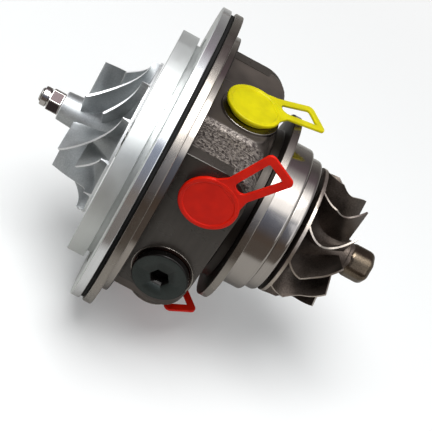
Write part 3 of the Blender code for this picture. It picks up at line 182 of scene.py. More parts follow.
# Turbine wheel
TURBINE_BACK_X = 51.0 * MM
TURBINE_FRONT_X = 52.2 * MM
TURBINE_RADIUS = 23.3 * MM
TURBINE_BEND_X = 58.2 * MM
TURBINE_SHROUD_X = 64.0 * MM
TURBINE_EXIT_X = 69.2 * MM
TURBINE_EXIT_RADIUS = 20.3 * MM
TURBINE_HUB_X = 71.5 * MM
TURBINE_HUB_RADIUS = 6.1 * MM
TURBINE_BOSS_X = 48.7 * MM
TURBINE_BOSS_RADIUS = 8.1 * MM
TURBINE_SOCKET_X = 54.7 * MM
TURBINE_SOCKET_RADIUS = 4.2 * MM
TURBINE_BLADES = 11
TURBINE_WRAP_X = 58.8 * MM
TURBINE_WRAP_START = math.radians(-7.5)
TURBINE_WRAP_RATE = math.radians(0.22) / MM ** 2
TURBINE_CLOCK = math.radians(-46.5)
NOSE_BLOCK_X = 71.8 * MM
NOSE_BLOCK_END_X = 81.6 * MM
NOSE_BLOCK_RADIUS = 6.6 * MM

# Heat shield
SHIELD_START_X = 35.9 * MM
SHIELD_SHOULDER_X = 45.0 * MM
SHIELD_END_X = 49.6 * MM
SHIELD_RADIUS = 26.5 * MM
SHIELD_LIP_RADIUS = 24.5 * MM
SHIELD_HOLE_RADIUS = 9.4 * MM
SHIELD_WALL = 1.0 * MM

# Plug and caps
PLUG_HEAD_RADIUS = 9.5 * MM
PLUG_SHANK_RADIUS = 6.2 * MM
PLUG_SOCKET_RADIUS = 3.5 * MM
PLUG_SOCKET_DEPTH = 4.5 * MM
CAP_RADIUS = 9.6 * MM
DRAIN_CAP_RADIUS = 11.2 * MM
CAP_SEAT_GAP = 0.2 * MM
CAP_COLLAR_HEIGHT = 1.9 * MM
CAP_THICKNESS = 1.3 * MM
CAP_COLLAR_INSET = 1.8 * MM
CAP_STEM_LENGTH = 6.5 * MM
CAP_STEM_WALL = 1.2 * MM
CAP_STEM_GAP = 0.4 * MM
TAB_REACH = 27.5 * MM
DRAIN_TAB_REACH = 26.2 * MM
TAB_STRUT = 2.8 * MM

# Camera, as the photograph was taken
CAMERA_PLACE = Vector((-12.45, -293.9, 223.3)) * MM
CAMERA_RIGHT = Vector((0.8764, 0.2218, 0.4274))
CAMERA_UP = Vector((-0.4700, 0.5874, 0.6588))
SENSOR_WIDTH = 36.0
LENS = 91.7

ALONG_SHAFT = Matrix.Rotation(math.pi / 2, 4, "Y")


# Colour and nodes


def linear(hex_colour):
    """An sRGB hex colour as linear red, green and blue, with a full alpha."""
    parts = [int(hex_colour[i:i + 2], 16) / 255 for i in (1, 3, 5)]
    return tuple(p / 12.92 if p <= 0.04045 else ((p + 0.055) / 1.055) ** 2.4 for p in parts) + (1.0,)


def add(tree, kind, inputs=None, **settings):
    """Adds a node, or takes one that is there, and gives it its settings, values and links.

    A shader node's kind is named without its prefix. A node given as a value links its first live output.
    """
    made = kind
    if isinstance(kind, str):
        made = tree.nodes.new(kind if "Node" in kind else "ShaderNode" + kind)
    for name, value in settings.items():
        setattr(made, name, value)
    for key, value in (inputs or {}).items():
        if isinstance(value, bpy.types.Node):
            value = next(socket for socket in value.outputs if socket.enabled)
        if isinstance(value, bpy.types.NodeSocket):
            tree.links.new(value, made.inputs[key])
        else:
            made.inputs[key].default_value = value
    return made


def new_material(name):
    """A named material with its node tree and its shader."""
    material = bpy.data.materials.new(name)
    material.use_nodes = True
    tree = material.node_tree
    return material, tree, tree.nodes["Principled BSDF"]


def shaft_coordinates(tree):
    """Object coordinates, with the place along the shaft and the distance from it."""
    place = add(tree, "TexCoord").outputs["Object"]
    parts = add(tree, "SeparateXYZ", {0: place})
    flat = add(tree, "VectorMath", {0: place, 1: (0.0, 1.0, 1.0)}, operation="MULTIPLY")
    radius = add(tree, "VectorMath", {0: flat}, operation="LENGTH")
    return place, parts.outputs["X"], radius.outputs["Value"]


# Materials


def cast_iron():
    """Sand-cast grey iron, coated and dark. Where the blasting shows, on top towards the near side, the bare iron is
    lighter, and the tops of its wrinkles carry a painted glint.
    """
    material, tree, shader = new_material("sand_cast_iron")
    place = add(tree, "TexCoord").outputs["Object"]
    parts = add(tree, "SeparateXYZ", {0: place})
    high = add(tree, "MapRange", {"Value": parts.outputs["Z"], "From Min": 25.0 * MM, "From Max": 29.0 * MM})
    near = add(tree, "MapRange", {"Value": parts.outputs["Y"], "From Min": -11.6 * MM, "From Max": -13.0 * MM})
    zone = add(tree, "Math", {0: high, 1: near}, operation="MULTIPLY")
    grit = add(tree, "TexNoise", {"Vector": place, "Scale": 1 / (1.0 * MM), "Detail": 3.0,
            "Roughness": 0.6, "Distortion": 0.8})
    cloud = add(tree, "TexNoise", {"Vector": place, "Scale": 1 / (12 * MM), "Detail": 2.0})
    fine = add(tree, "TexNoise", {"Vector": place, "Scale": 1 / (0.5 * MM), "Detail": 2.0})
    # Painted glint: the ridges of the blasted grain are coloured light over darker hollows, partly the bare iron's own
    # tone, partly painted highlight.
    ridge_glint = add(tree, "MapRange", {"Value": grit, "From Min": 0.38, "From Max": 0.64})
    blasted_with_painted_glints = add(tree, "Mix", {0: ridge_glint, 6: linear("#383130"), 7: linear("#9c948d")}, data_type="RGBA")
    soot = add(tree, "MapRange", {"Value": cloud, "From Min": 0.3, "From Max": 0.7})
    coated = add(tree, "Mix", {0: soot, 6: linear("#403a36"), 7: linear("#5c544e")}, data_type="RGBA")
    tone = add(tree, "Mix", {0: zone, 6: coated, 7: blasted_with_painted_glints}, data_type="RGBA")
    finish = add(tree, "MapRange", {"Value": zone, "To Min": 0.42, "To Max": 0.5})
    depth = add(tree, "MapRange", {"Value": zone, "To Min": 0.12, "To Max": 1.0})
    metal = add(tree, "MapRange", {"Value": zone, "To Min": 0.35, "To Max": 0.8})
    height = add(tree, "Math", {0: fine, 1: 0.35, 2: grit}, operation="MULTIPLY_ADD")
    bump = add(tree, "Bump", {"Height": height, "Strength": depth, "Distance": 0.35 * MM})
    add(tree, shader, {"Base Color": tone, "Roughness": finish, "Normal": bump, "Metallic": metal})
    return material


def turned_metal(name, light, dark, roughness, pitch=0.35 * MM, depth=0.006 * MM, blur=0.06, metallic=1.0):
    """Metal turned on a lathe: fine rings round the shaft, a little uneven, that stretch reflections across them."""
    material, tree, shader = new_material(name)
    place, along, radius = shaft_coordinates(tree)
    lines = add(tree, "CombineXYZ", {"X": along, "Y": radius})
    rings = add(tree, "TexNoise", {"Vector": lines, "Scale": 1 / pitch, "Detail": 3.0})
    stain = add(tree, "TexNoise", {"Vector": place, "Scale": 1 / (9 * MM), "Detail": 3.0})
    tone = add(tree, "Mix", {0: rings, 6: linear(dark), 7: linear(light)}, data_type="RGBA")
    finish = add(tree, "MapRange", {"Value": stain, "From Min": 0.3, "From Max": 0.7,
            "To Min": roughness - blur, "To Max": roughness + blur})
    bump = add(tree, "Bump", {"Height": rings, "Strength": 0.5, "Distance": depth})
    add(tree, shader, {"Base Color": tone, "Roughness": finish, "Normal": bump, "Metallic": metallic})
    return material


def cast_metal(name, light, dark, roughness, grain=0.5 * MM, depth=0.02 * MM, metallic=1.0):
    """Investment-cast metal: an even satin skin with a fine grain and faint clouds."""
    material, tree, shader = new_material(name)
    place = add(tree, "TexCoord").outputs["Object"]
    skin = add(tree, "TexNoise", {"Vector": place, "Scale": 1 / grain, "Detail": 3.0})
    cloud = add(tree, "TexNoise", {"Vector": place, "Scale": 1 / (7 * MM), "Detail": 2.0})
    both = add(tree, "Math", {0: skin, 1: cloud}, operation="ADD")
    share = add(tree, "MapRange", {"Value": both, "From Min": 0.7, "From Max": 1.3})
    tone = add(tree, "Mix", {0: share, 6: linear(dark), 7: linear(light)}, data_type="RGBA")
    finish = add(tree, "MapRange", {"Value": cloud, "From Min": 0.3, "From Max": 0.7,
            "To Min": roughness - 0.05, "To Max": roughness + 0.05})
    bump = add(tree, "Bump", {"Height": skin, "Strength": 0.5, "Distance": depth})
    add(tree, shader, {"Base Color": tone, "Roughness": finish, "Normal": bump, "Metallic": metallic})
    return material


def moulded_plastic(name, light, dark, roughness):
    """Soft moulded polyethylene: glossy, a little clouded inside, with light that sinks in at thin edges."""
    material, tree, shader = new_material(name)
    place = add(tree, "TexCoord").outputs["Object"]
    cloud = add(tree, "TexNoise", {"Vector": place, "Scale": 1 / (5 * MM), "Detail": 2.0})
    orange = add(tree, "TexNoise", {"Vector": place, "Scale": 1 / (1.1 * MM), "Detail": 1.0})
    share = add(tree, "MapRange", {"Value": cloud, "From Min": 0.3, "From Max": 0.7})
    tone = add(tree, "Mix", {0: share, 6: linear(dark), 7: linear(light)}, data_type="RGBA")
    finish = add(tree, "MapRange", {"Value": cloud, "To Min": roughness - 0.05, "To Max": roughness + 0.05})
    bump = add(tree, "Bump", {"Height": orange, "Strength": 0.25, "Distance": 0.03 * MM})
    add(tree, shader, {"Base Color": tone, "Roughness": finish, "Normal": bump,
            "Subsurface Weight": 0.1, "Subsurface Radius": (1.0, 0.4, 0.2),
            "Subsurface Scale": 0.6 * MM, "Specular IOR Level": 0.2})
    return material


def black_rubber():
    """Moulded nitrile rubber: black and matt, with a fine powdery grain."""
    material, tree, shader = new_material("moulded_rubber")
    place = add(tree, "TexCoord").outputs["Object"]
    dust = add(tree, "TexNoise", {"Vector": place, "Scale": 1 / (0.8 * MM), "Detail": 3.0})
    tone = add(tree, "Mix", {0: dust, 6: linear("#050505"), 7: linear("#0e0d0d")}, data_type="RGBA")
    bump = add(tree, "Bump", {"Height": dust, "Strength": 0.3, "Distance": 0.05 * MM})
    add(tree, shader, {"Base Color": tone, "Roughness": 0.75, "Normal": bump, "Specular IOR Level": 0.25})
    return material


IRON = cast_iron()
TURNED_IRON = turned_metal("ground_iron_rim", "#a39d96", "#85807a", 0.27, pitch=0.6 * MM)
POLISHED_IRON = turned_metal("fine_turned_iron", "#a8a29c", "#938d87", 0.13, blur=0.03)
MILLED_IRON = turned_metal("milled_iron", "#4a4540", "#3b3733", 0.3, pitch=1.2 * MM, metallic=0.3)
# Painted shade: the same turned iron, coloured much darker for the faces down in the flange's step and the clamp
# groove.
SHADED_GROOVE_IRON = turned_metal("turned_iron_painted_groove_shade", "#4a4642", "#2c2927", 0.38)
POLISHED_ALUMINIUM = turned_metal("polished_aluminium", "#eceef0", "#dcdfe2", 0.15, blur=0.04, metallic=0.92)
SATIN_ALUMINIUM = turned_metal("fine_turned_aluminium", "#dcdfde", "#c8cccb", 0.5, pitch=0.5 * MM, metallic=0.9)
CAST_ALUMINIUM = cast_metal("investment_cast_aluminium", "#bfc2c3", "#a0a4a6", 0.48, metallic=0.9)
GROUND_EDGE = cast_metal("ground_aluminium_edge", "#f0f1f2", "#dfe1e3", 0.45, depth=0.01 * MM, metallic=0.6)
TURBINE_ALLOY = cast_metal("investment_cast_nickel_alloy", "#6c625b", "#453d37", 0.45, metallic=0.9)
TURBINE_EDGE = cast_metal("ground_nickel_alloy_edge", "#c9c0b6", "#a69c92", 0.34, depth=0.01 * MM)
NOSE_ALLOY = cast_metal("tumbled_nickel_alloy", "#75695a", "#50473c", 0.22, metallic=0.95)
STAINLESS = turned_metal("polished_stainless_sheet", "#b3aea9", "#a09b96", 0.16, pitch=0.6 * MM, blur=0.03)
NUT_STEEL = turned_metal("machined_steel", "#c9c5c2", "#aaa6a3", 0.16, blur=0.03)
DARK_NUT_STEEL = turned_metal("phosphated_steel", "#463e3f", "#2f292a", 0.3)
GROUND_STEEL = turned_metal("ground_steel", "#d6d4d0", "#bdbab6", 0.22)
BLACK_STEEL = cast_metal("blackened_steel", "#333a38", "#262c2a", 0.42, metallic=0.5)
# Painted shade: the plug's blackened steel, coloured darker for its side, its underside and its socket.
BLACK_STEEL_PAINTED_SHADE = cast_metal("blackened_steel_painted_shade", "#1d1a19", "#131110", 0.3, metallic=0.6)
BRONZE = turned_metal("bearing_bronze", "#c79a5c", "#a97e45", 0.3)
SPRING_STEEL = turned_metal("spring_steel", "#7a7a7c", "#5c5c5e", 0.35)
# Painted shade: the washer's copper is coloured a dark brown, as dark as the gap under the plug head.
COPPER_PAINTED_SHADE = cast_metal("copper_painted_gap_shade", "#4a3029", "#33221e", 0.4)
RUBBER = black_rubber()
YELLOW_PLASTIC = moulded_plastic("yellow_polyethylene", "#d4c900", "#c2b800", 0.4)
RED_PLASTIC = moulded_plastic("red_polyethylene", "#d81a02", "#c81402", 0.4)


# Shapes


def on_clock(x, radius, clock):
    """The point at a radius and clock angle round the shaft."""
    return Vector((x, radius * math.sin(clock), radius * math.cos(clock)))


def place_along(start, direction):
    """The matrix that puts local Z along a direction, with local X along the shaft where it can be."""
    z = Vector(direction).normalized()
    x = Vector((1, 0, 0)) - z * z.x
    x = Vector((0, 1, 0)) if x.length < 1e-6 else x.normalized()
    turn = Matrix((x, z.cross(x), z)).transposed().to_4x4()
    return Matrix.Translation(Vector(start)) @ turn


def rounded(points, steps=FILLET_STEPS):
    """An outline of (u, v[, fillet radius[, slot]]) points with each corner made an arc: (u, v, slot) points."""
    made = []
    count = len(points)
    for i, point in enumerate(points):
        corner = Vector(point[:2])
        radius = point[2] if len(point) > 2 else 0.0
        slot = point[3] if len(point) > 3 else 0
        before = Vector(points[i - 1][:2]) - corner
        after = Vector(points[(i + 1) % count][:2]) - corner
        if radius <= 0 or before.length < 1e-9 or after.length < 1e-9:
            made.append((*corner, slot))
            continue
        half = before.angle(after) / 2
        if half < 1e-3 or half > math.pi / 2 - 1e-3:
            made.append((*corner, slot))
            continue
        reach = min(radius / math.tan(half), 0.45 * before.length, 0.45 * after.length)
        start = corner + before.normalized() * reach
        end = corner + after.normalized() * reach
        centre = corner + (before.normalized() + after.normalized()).normalized() * reach / math.cos(half)
        first = start - centre
        last = end - centre
        sweep = math.pi - 2 * half
        for step in range(steps + 1):
            share = step / steps
            left = math.sin((1 - share) * sweep) / math.sin(sweep)
            right = math.sin(share * sweep) / math.sin(sweep)
            spot = centre + first * left + last * right
            made.append((*spot, slot))
    return made


def placed(name, data):
    """An object in the scene with its mesh, curve, lamp or camera."""
    made = bpy.data.objects.new(name, data)
    bpy.context.scene.collection.objects.link(made)
    return made


def finished(name, bm, materials, smooth=30.0, weighted=True):
    """A mesh object from a bmesh: outward faces, smooth where it curves, its materials in order."""
    bmesh.ops.recalc_face_normals(bm, faces=bm.faces)
    mesh = bpy.data.meshes.new(name)
    bm.to_mesh(mesh)
    bm.free()
    for material in materials:
        mesh.materials.append(material)
    mesh.shade_smooth()
    mesh.set_sharp_from_angle(angle=math.radians(smooth))
    piece = placed(name, mesh)
    if weighted:
        normals = piece.modifiers.new("even_normals", "WEIGHTED_NORMAL")
        normals.keep_sharp = True
    return piece


def spin(bm, profile, steps=ROUND_STEPS, place=ALONG_SHAFT):
    """Adds a turned form to a bmesh: a loop of (along, radius, slot) points round the axis."""
    rings = []
    for along, radius, _ in profile:
        if radius < 1e-7:
            rings.append([bm.verts.new(place @ Vector((0, 0, along)))])
            continue
        ring = []
        for i in range(steps):
            turn = 2 * math.pi * i / steps
            ring.append(bm.verts.new(place @ Vector((radius * math.cos(turn), radius * math.sin(turn), along))))
        rings.append(ring)
    for k, ring in enumerate(rings):
        after = rings[(k + 1) % len(rings)]
        slot = profile[k][2]
        if len(ring) == 1 and len(after) == 1:
            continue
        for i in range(steps):
            j = (i + 1) % steps
            if len(ring) == 1:
                face = bm.faces.new((ring[0], after[i], after[j]))
            elif len(after) == 1:
                face = bm.faces.new((ring[j], ring[i], after[0]))
            else:
                face = bm.faces.new((ring[j], ring[i], after[i], after[j]))
            face.material_index = slot


def turned(name, points, materials, steps=ROUND_STEPS, place=ALONG_SHAFT):
    """A turned piece with filleted corners, from (along, radius, fillet, slot) points in a loop."""
    bm = bmesh.new()
    spin(bm, rounded(points), steps, place)
    return finished(name, bm, materials)


def plain(piece):
    """Makes an object's evaluated shape its own mesh, with no modifiers left."""
    seen = piece.evaluated_get(bpy.context.evaluated_depsgraph_get())
    mesh = bpy.data.meshes.new_from_object(seen)
    piece.modifiers.clear()
    piece.data = mesh
    return piece


def carve(pieces, bm, operation="DIFFERENCE"):
    """Cuts the shape in a bmesh out of every piece, or crosses them with it."""
    tool = finished("tool", bm, [], weighted=False)
    for piece in pieces:
        cut = piece.modifiers.new("cut", "BOOLEAN")
        cut.operation = operation
        cut.solver = "EXACT"
        cut.object = tool
        plain(piece)
    bpy.data.objects.remove(tool)


def joined(name, pieces, body, nodes):
    """Several objects as one piece that stands for CAD nodes and rides on their body."""
    bm = bmesh.new()
    materials = []
    for piece in pieces:
        plain(piece)
        for material in piece.data.materials:
            if material not in materials:
                materials.append(material)
        shift = [materials.index(material) for material in piece.data.materials]
        first = len(bm.faces)
        bm.from_mesh(piece.data)
        bm.faces.ensure_lookup_table()
        for face in bm.faces[first:]:
            face.material_index = shift[face.material_index]
        bpy.data.objects.remove(piece)
    mesh = bpy.data.meshes.new(name)
    bm.to_mesh(mesh)
    bm.free()
    for material in materials:
        mesh.materials.append(material)
    return settle(placed(name, mesh), body, nodes)


def settle(piece, body, nodes):
    """Puts a finished piece on its body, in place of its CAD nodes."""
    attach(piece, body)
    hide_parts(*nodes)
    return piece


# Repeats about the shaft


def repeat_tree():
    """Geometry Nodes: copies of one blade spread evenly about the shaft, its edges in a material of their own."""
    tree = bpy.data.node_groups.new("repeat_about_shaft", "GeometryNodeTree")
    face = tree.interface
    for name, kind in (("Geometry", "NodeSocketGeometry"), ("Count", "NodeSocketInt"),
            ("Surface", "NodeSocketMaterial"), ("Edge", "NodeSocketMaterial")):
        face.new_socket(name, in_out="INPUT", socket_type=kind)
    face.new_socket("Geometry", in_out="OUTPUT", socket_type="NodeSocketGeometry")
    start = add(tree, "NodeGroupInput")
    one = add(tree, "GeometryNodeGeometryToInstance", {0: start.outputs["Geometry"]})
    many = add(tree, "GeometryNodeDuplicateElements", {"Geometry": one,
            "Amount": start.outputs["Count"]}, domain="INSTANCE")
    pitch = add(tree, "Math", {0: 2 * math.pi, 1: start.outputs["Count"]}, operation="DIVIDE")
    turn = add(tree, "Math", {0: many.outputs["Duplicate Index"], 1: pitch}, operation="MULTIPLY")
    euler = add(tree, "CombineXYZ", {"X": turn})
    spun = add(tree, "GeometryNodeRotateInstances", {"Instances": many.outputs["Geometry"], "Rotation": euler})
    real = add(tree, "GeometryNodeRealizeInstances", {0: spun})
    surface = add(tree, "GeometryNodeSetMaterial", {"Geometry": real, "Material": start.outputs["Surface"]})
    edges = add(tree, "GeometryNodeInputNamedAttribute", {"Name": "edge"}, data_type="BOOLEAN")
    both = add(tree, "GeometryNodeSetMaterial", {"Geometry": surface, "Selection": edges.outputs["Attribute"],
            "Material": start.outputs["Edge"]})
    add(tree, "NodeGroupOutput", {0: both})
    return tree


REPEAT = repeat_tree()


def repeated(blade, count, surface, edge):
    """The blade repeated about the shaft as one plain mesh."""
    spread = blade.modifiers.new("spread", "NODES")
    spread.node_group = REPEAT
    values = {"Count": count, "Surface": surface, "Edge": edge}
    for item in REPEAT.interface.items_tree:
        if item.in_out == "INPUT" and item.name in values:
            spread[item.identifier] = values[item.name]
    return plain(blade)


def blade_shell(name, point, along_steps, up_steps, thickness):
    """One blade: point(m, v) gives its middle surface, thickness(m, v) its thickness. Its rims are marked as edges."""
    rows = []
    for i in range(along_steps + 1):
        m = i / along_steps
        rows.append([point(m, (j / up_steps) ** 1.4) for j in range(up_steps + 1)])
    bm = bmesh.new()
    marks = bm.faces.layers.bool.new("edge")
    sides = []
    for side in (-0.5, 0.5):
        grid = []
        for i in range(along_steps + 1):
            line = []
            for j in range(up_steps + 1):
                du = rows[min(i + 1, along_steps)][j] - rows[max(i - 1, 0)][j]
                dv = rows[i][min(j + 1, up_steps)] - rows[i][max(j - 1, 0)]
                wide = thickness(i / along_steps, (j / up_steps) ** 1.4)
                line.append(bm.verts.new(rows[i][j] + du.cross(dv).normalized() * side * wide))
            grid.append(line)
        sides.append(grid)
        for i in range(along_steps):
            for j in range(up_steps):
                bm.faces.new((grid[i][j], grid[i + 1][j], grid[i + 1][j + 1], grid[i][j + 1]))
    border = [(0, j) for j in range(up_steps)] + [(i, up_steps) for i in range(along_steps)]
    border += [(along_steps, j) for j in range(up_steps, 0, -1)] + [(i, 0) for i in range(along_steps, 0, -1)]
    for k, (i, j) in enumerate(border):
        p, q = border[(k + 1) % len(border)]
        face = bm.faces.new((sides[0][i][j], sides[0][p][q], sides[1][p][q], sides[1][i][j]))
        face[marks] = j == q == up_steps or i == p == along_steps
    return finished(name, bm, [], 40.0, weighted=False)


# Compressor wheel


def compressor_hub(m):
    """(x, radius) on the hub's curve, m from 0 at the leading edge to 1 at the rim."""
    angle = m * math.pi / 2
    return (INDUCER_X + (WHEEL_RIM_X - INDUCER_X) * math.sin(angle),
            EXDUCER_RADIUS - (EXDUCER_RADIUS - WHEEL_HUB_RADIUS) * math.cos(angle))


def compressor_point(first):
    """The middle surface of a full blade or, starting further on, of a splitter."""
    clock = COMPRESSOR_CLOCK + (0.0 if first == 0.0 else math.pi / FULL_BLADES)
    sunk = 0.5 * MM

    def point(m, v):
        m = first + (1 - first) * m
        angle = m * math.pi / 2
        turn = clock - COMPRESSOR_SWEEP * (1 - m) - COMPRESSOR_CURL * (1 - m) ** 2
        hub_x, hub_radius = compressor_hub(m)
        root = on_clock(hub_x + sunk * math.sin(angle), hub_radius - sunk * math.cos(angle), turn)
        tip = on_clock(INDUCER_X + (EXDUCER_TIP_X - INDUCER_X) * math.sin(angle) ** TIP_SQUARENESS,
                EXDUCER_RADIUS - (EXDUCER_RADIUS - INDUCER_RADIUS) * math.cos(angle) ** TIP_SQUARENESS, turn)
        return root.lerp(tip, v)

    return point


def blade_thickness(tip, root, fillet, span):
    """Blade thickness: tapered from root to tip, flared where it meets the hub and thinned at the leading edge."""
    def thickness(m, v):
        height = v * span * (1 - 0.75 * m)
        body = tip * (1 - 0.5 * m) + (root - tip) * (1 - v) ** 1.3 + fillet * math.exp(-height / (0.5 * fillet))
        lead = min(1.0, 0.45 + m * 14)
        return body * math.sqrt(1 - (1 - lead) ** 2) if lead < 1 else body
    return thickness


def make_compressor_wheel():
    hub = [compressor_hub(1 - i / HUB_STEPS) for i in range(HUB_STEPS + 1)]
    points = [(WHEEL_BACK_X, STUB_BORE, 0.0, 0), (WHEEL_BACK_X, EXDUCER_RADIUS, 0.15 * MM, 1)]
    points += hub
    points += [(WHEEL_NOSE_X, WHEEL_NOSE_RADIUS, 0.35 * MM, 1), (WHEEL_NOSE_X, STUB_BORE, 0.0, 1)]
    body = turned("wheel_hub", points, [CAST_ALUMINIUM, GROUND_EDGE])
    span = INDUCER_RADIUS - WHEEL_HUB_RADIUS
    shape = blade_thickness(BLADE_TIP, BLADE_ROOT, BLADE_FILLET, span)
    full = blade_shell("full_blades", compressor_point(0.0), 44, 16, shape)
    short = blade_shell("splitter_blades", compressor_point(SPLITTER_START), 34, 14, shape)
    repeated(full, FULL_BLADES, CAST_ALUMINIUM, GROUND_EDGE)
    repeated(short, FULL_BLADES, CAST_ALUMINIUM, GROUND_EDGE)
    joined("compressor_wheel_cast", [body, full, short], "rotor", ["compressor_wheel"])


def hexagon(name, start, end, radius, clock, materials, smooth=30.0, **edge):
    """A six-sided block along the shaft, its edges bevelled."""
    bm = bmesh.new()
    bmesh.ops.create_cone(bm, cap_ends=True, segments=6, radius1=radius, radius2=radius, depth=end - start)
    bmesh.ops.bevel(bm, geom=bm.edges[:], affect="EDGES", **edge)
    centre = Matrix.Translation(((start + end) / 2, 0, 0))
    bmesh.ops.transform(bm, verts=bm.verts, matrix=centre @ ALONG_SHAFT @ Matrix.Rotation(clock, 4, "Z"))
    return finished(name, bm, materials, smooth)


def make_nut():
    """A dark hexagon with bright bevelled edges, and a bright collar towards the shaft's end."""
    block = hexagon("nut_hexagon", NUT_FRONT_X, NUT_BACK_X, NUT_CORNER_RADIUS, NUT_CLOCK,
            [DARK_NUT_STEEL, NUT_STEEL], offset=0.28 * MM, segments=3, profile=0.6, material=1)
    edge = 0.5 * MM
    collar = turned("nut_collar", [
        (NUT_FRONT_X + edge, STUB_BORE),
        (NUT_FRONT_X + edge, NUT_COLLAR_RADIUS - edge),
        (NUT_FRONT_X - edge, NUT_COLLAR_RADIUS - edge, 0.1 * MM),
        (NUT_FRONT_X - edge, NUT_COLLAR_RADIUS, 0.15 * MM),
        (NUT_END_X, NUT_COLLAR_RADIUS, 0.35 * MM),
        (NUT_END_X, STUB_BORE, 0.1 * MM),
    ], [NUT_STEEL], SMALL_ROUND_STEPS)
    joined("compressor_nut_machined", [block, collar], "rotor", ["compressor_nut"])


def make_shaft():
    """The ground shaft: threaded stub, two journals with a waist between, seal boss and the turbine's spigot."""
    points = [
        (SPIGOT_END_X, 0.0),
        (SPIGOT_END_X, SPIGOT_RADIUS, 0.3 * MM),
        (SHAFT_END_X, SPIGOT_RADIUS),
        (SHAFT_END_X, SEAL_BOSS_RADIUS, 0.2 * MM),
        (REAR_RING_END_X, SEAL_BOSS_RADIUS, 0.1 * MM),
        (REAR_RING_END_X, REAR_RING_RADIUS, 0.1 * MM),
        (REAR_RING_X, REAR_RING_RADIUS, 0.1 * MM),
        (REAR_RING_X, SEAL_BOSS_RADIUS, 0.1 * MM),
        (SEAL_BOSS_START_X, SEAL_BOSS_RADIUS, 0.3 * MM),
        (SEAL_BOSS_START_X, JOURNAL_RADIUS, 0.3 * MM),
        (WAIST_END_X + 0.4 * MM, JOURNAL_RADIUS, 0.1 * MM),
        (WAIST_END_X, WAIST_RADIUS, 0.1 * MM),
        (WAIST_START_X, WAIST_RADIUS, 0.1 * MM),
        (WAIST_START_X - 0.4 * MM, JOURNAL_RADIUS, 0.1 * MM),
        (SHAFT_SHOULDER_X, JOURNAL_RADIUS, 0.1 * MM),
        (SHAFT_SHOULDER_X, STUB_RADIUS, 0.1 * MM),
    ]
    turns = int((STUB_THREAD_X - STUB_END_X) / STUB_PITCH)
    for i in range(turns):
        x = STUB_THREAD_X - i * STUB_PITCH
        points += [(x, STUB_RADIUS, 0.05 * MM, 0), (x - STUB_PITCH / 2, STUB_RADIUS - 0.35 * MM, 0.08 * MM, 0)]
    points += [(STUB_END_X + 0.45 * MM, STUB_RADIUS, 0.1 * MM, 0), (STUB_END_X, STUB_RADIUS - 0.45 * MM, 0.1 * MM, 0),
            (STUB_END_X, 0.7 * MM, 0.05 * MM, 0), (STUB_END_X + 0.7 * MM, 0.0, 0.0, 0)]
    shaft = turned("rotor_shaft_ground", points, [GROUND_STEEL], SMALL_ROUND_STEPS)
    settle(shaft, "rotor", ["rotor_shaft"])


# Turbine wheel


def turbine_hub_radius(x):
    """The hub's radius at a place along the shaft."""
    share = min(max((TURBINE_HUB_X - x) / (TURBINE_HUB_X - TURBINE_FRONT_X), 0.0), 1.0)
    return TURBINE_RADIUS - (TURBINE_RADIUS - TURBINE_HUB_RADIUS) * math.sqrt(1 - share ** 2)


def turbine_tip_radius(x):
    """The radius of the blade tips at a place along the shaft."""
    share = min(max((x - TURBINE_BEND_X) / (TURBINE_SHROUD_X - TURBINE_BEND_X), 0.0), 1.0)
    return TURBINE_RADIUS - (TURBINE_RADIUS - TURBINE_EXIT_RADIUS) * math.sin(share * math.pi / 2)


def turbine_point(m, v):
    """The middle surface of a turbine blade, from its inlet at the disc to its exit."""
    start = (TURBINE_BACK_X + TURBINE_FRONT_X) / 2
    x = start + (TURBINE_EXIT_X - start) * m
    turn = TURBINE_CLOCK + TURBINE_WRAP_START + TURBINE_WRAP_RATE * (x - TURBINE_WRAP_X) ** 2
    root = on_clock(x, TURBINE_HUB_RADIUS - 0.8 * MM, turn)
    return root.lerp(on_clock(x, turbine_tip_radius(x), turn), v)


def turbine_thickness(m, v):
    """Thin at the tip, thick where the blade meets the hub."""
    x = TURBINE_FRONT_X + (TURBINE_EXIT_X - TURBINE_FRONT_X) * m
    tip = turbine_tip_radius(x)
    radius = TURBINE_HUB_RADIUS + (tip - TURBINE_HUB_RADIUS) * v
    height = max(radius - turbine_hub_radius(x), 0.0)
    return 0.6 * MM + 0.7 * MM * (1 - v) + 1.4 * MM * math.exp(-height / (0.8 * MM))


def make_nose_block():
    """The cast hexagon on the turbine's nose, well rounded."""
    return hexagon("nose_block", NOSE_BLOCK_X, NOSE_BLOCK_END_X, NOSE_BLOCK_RADIUS, 0.0, [NOSE_ALLOY], 60.0,
            offset=2.3 * MM, segments=8, profile=0.5)


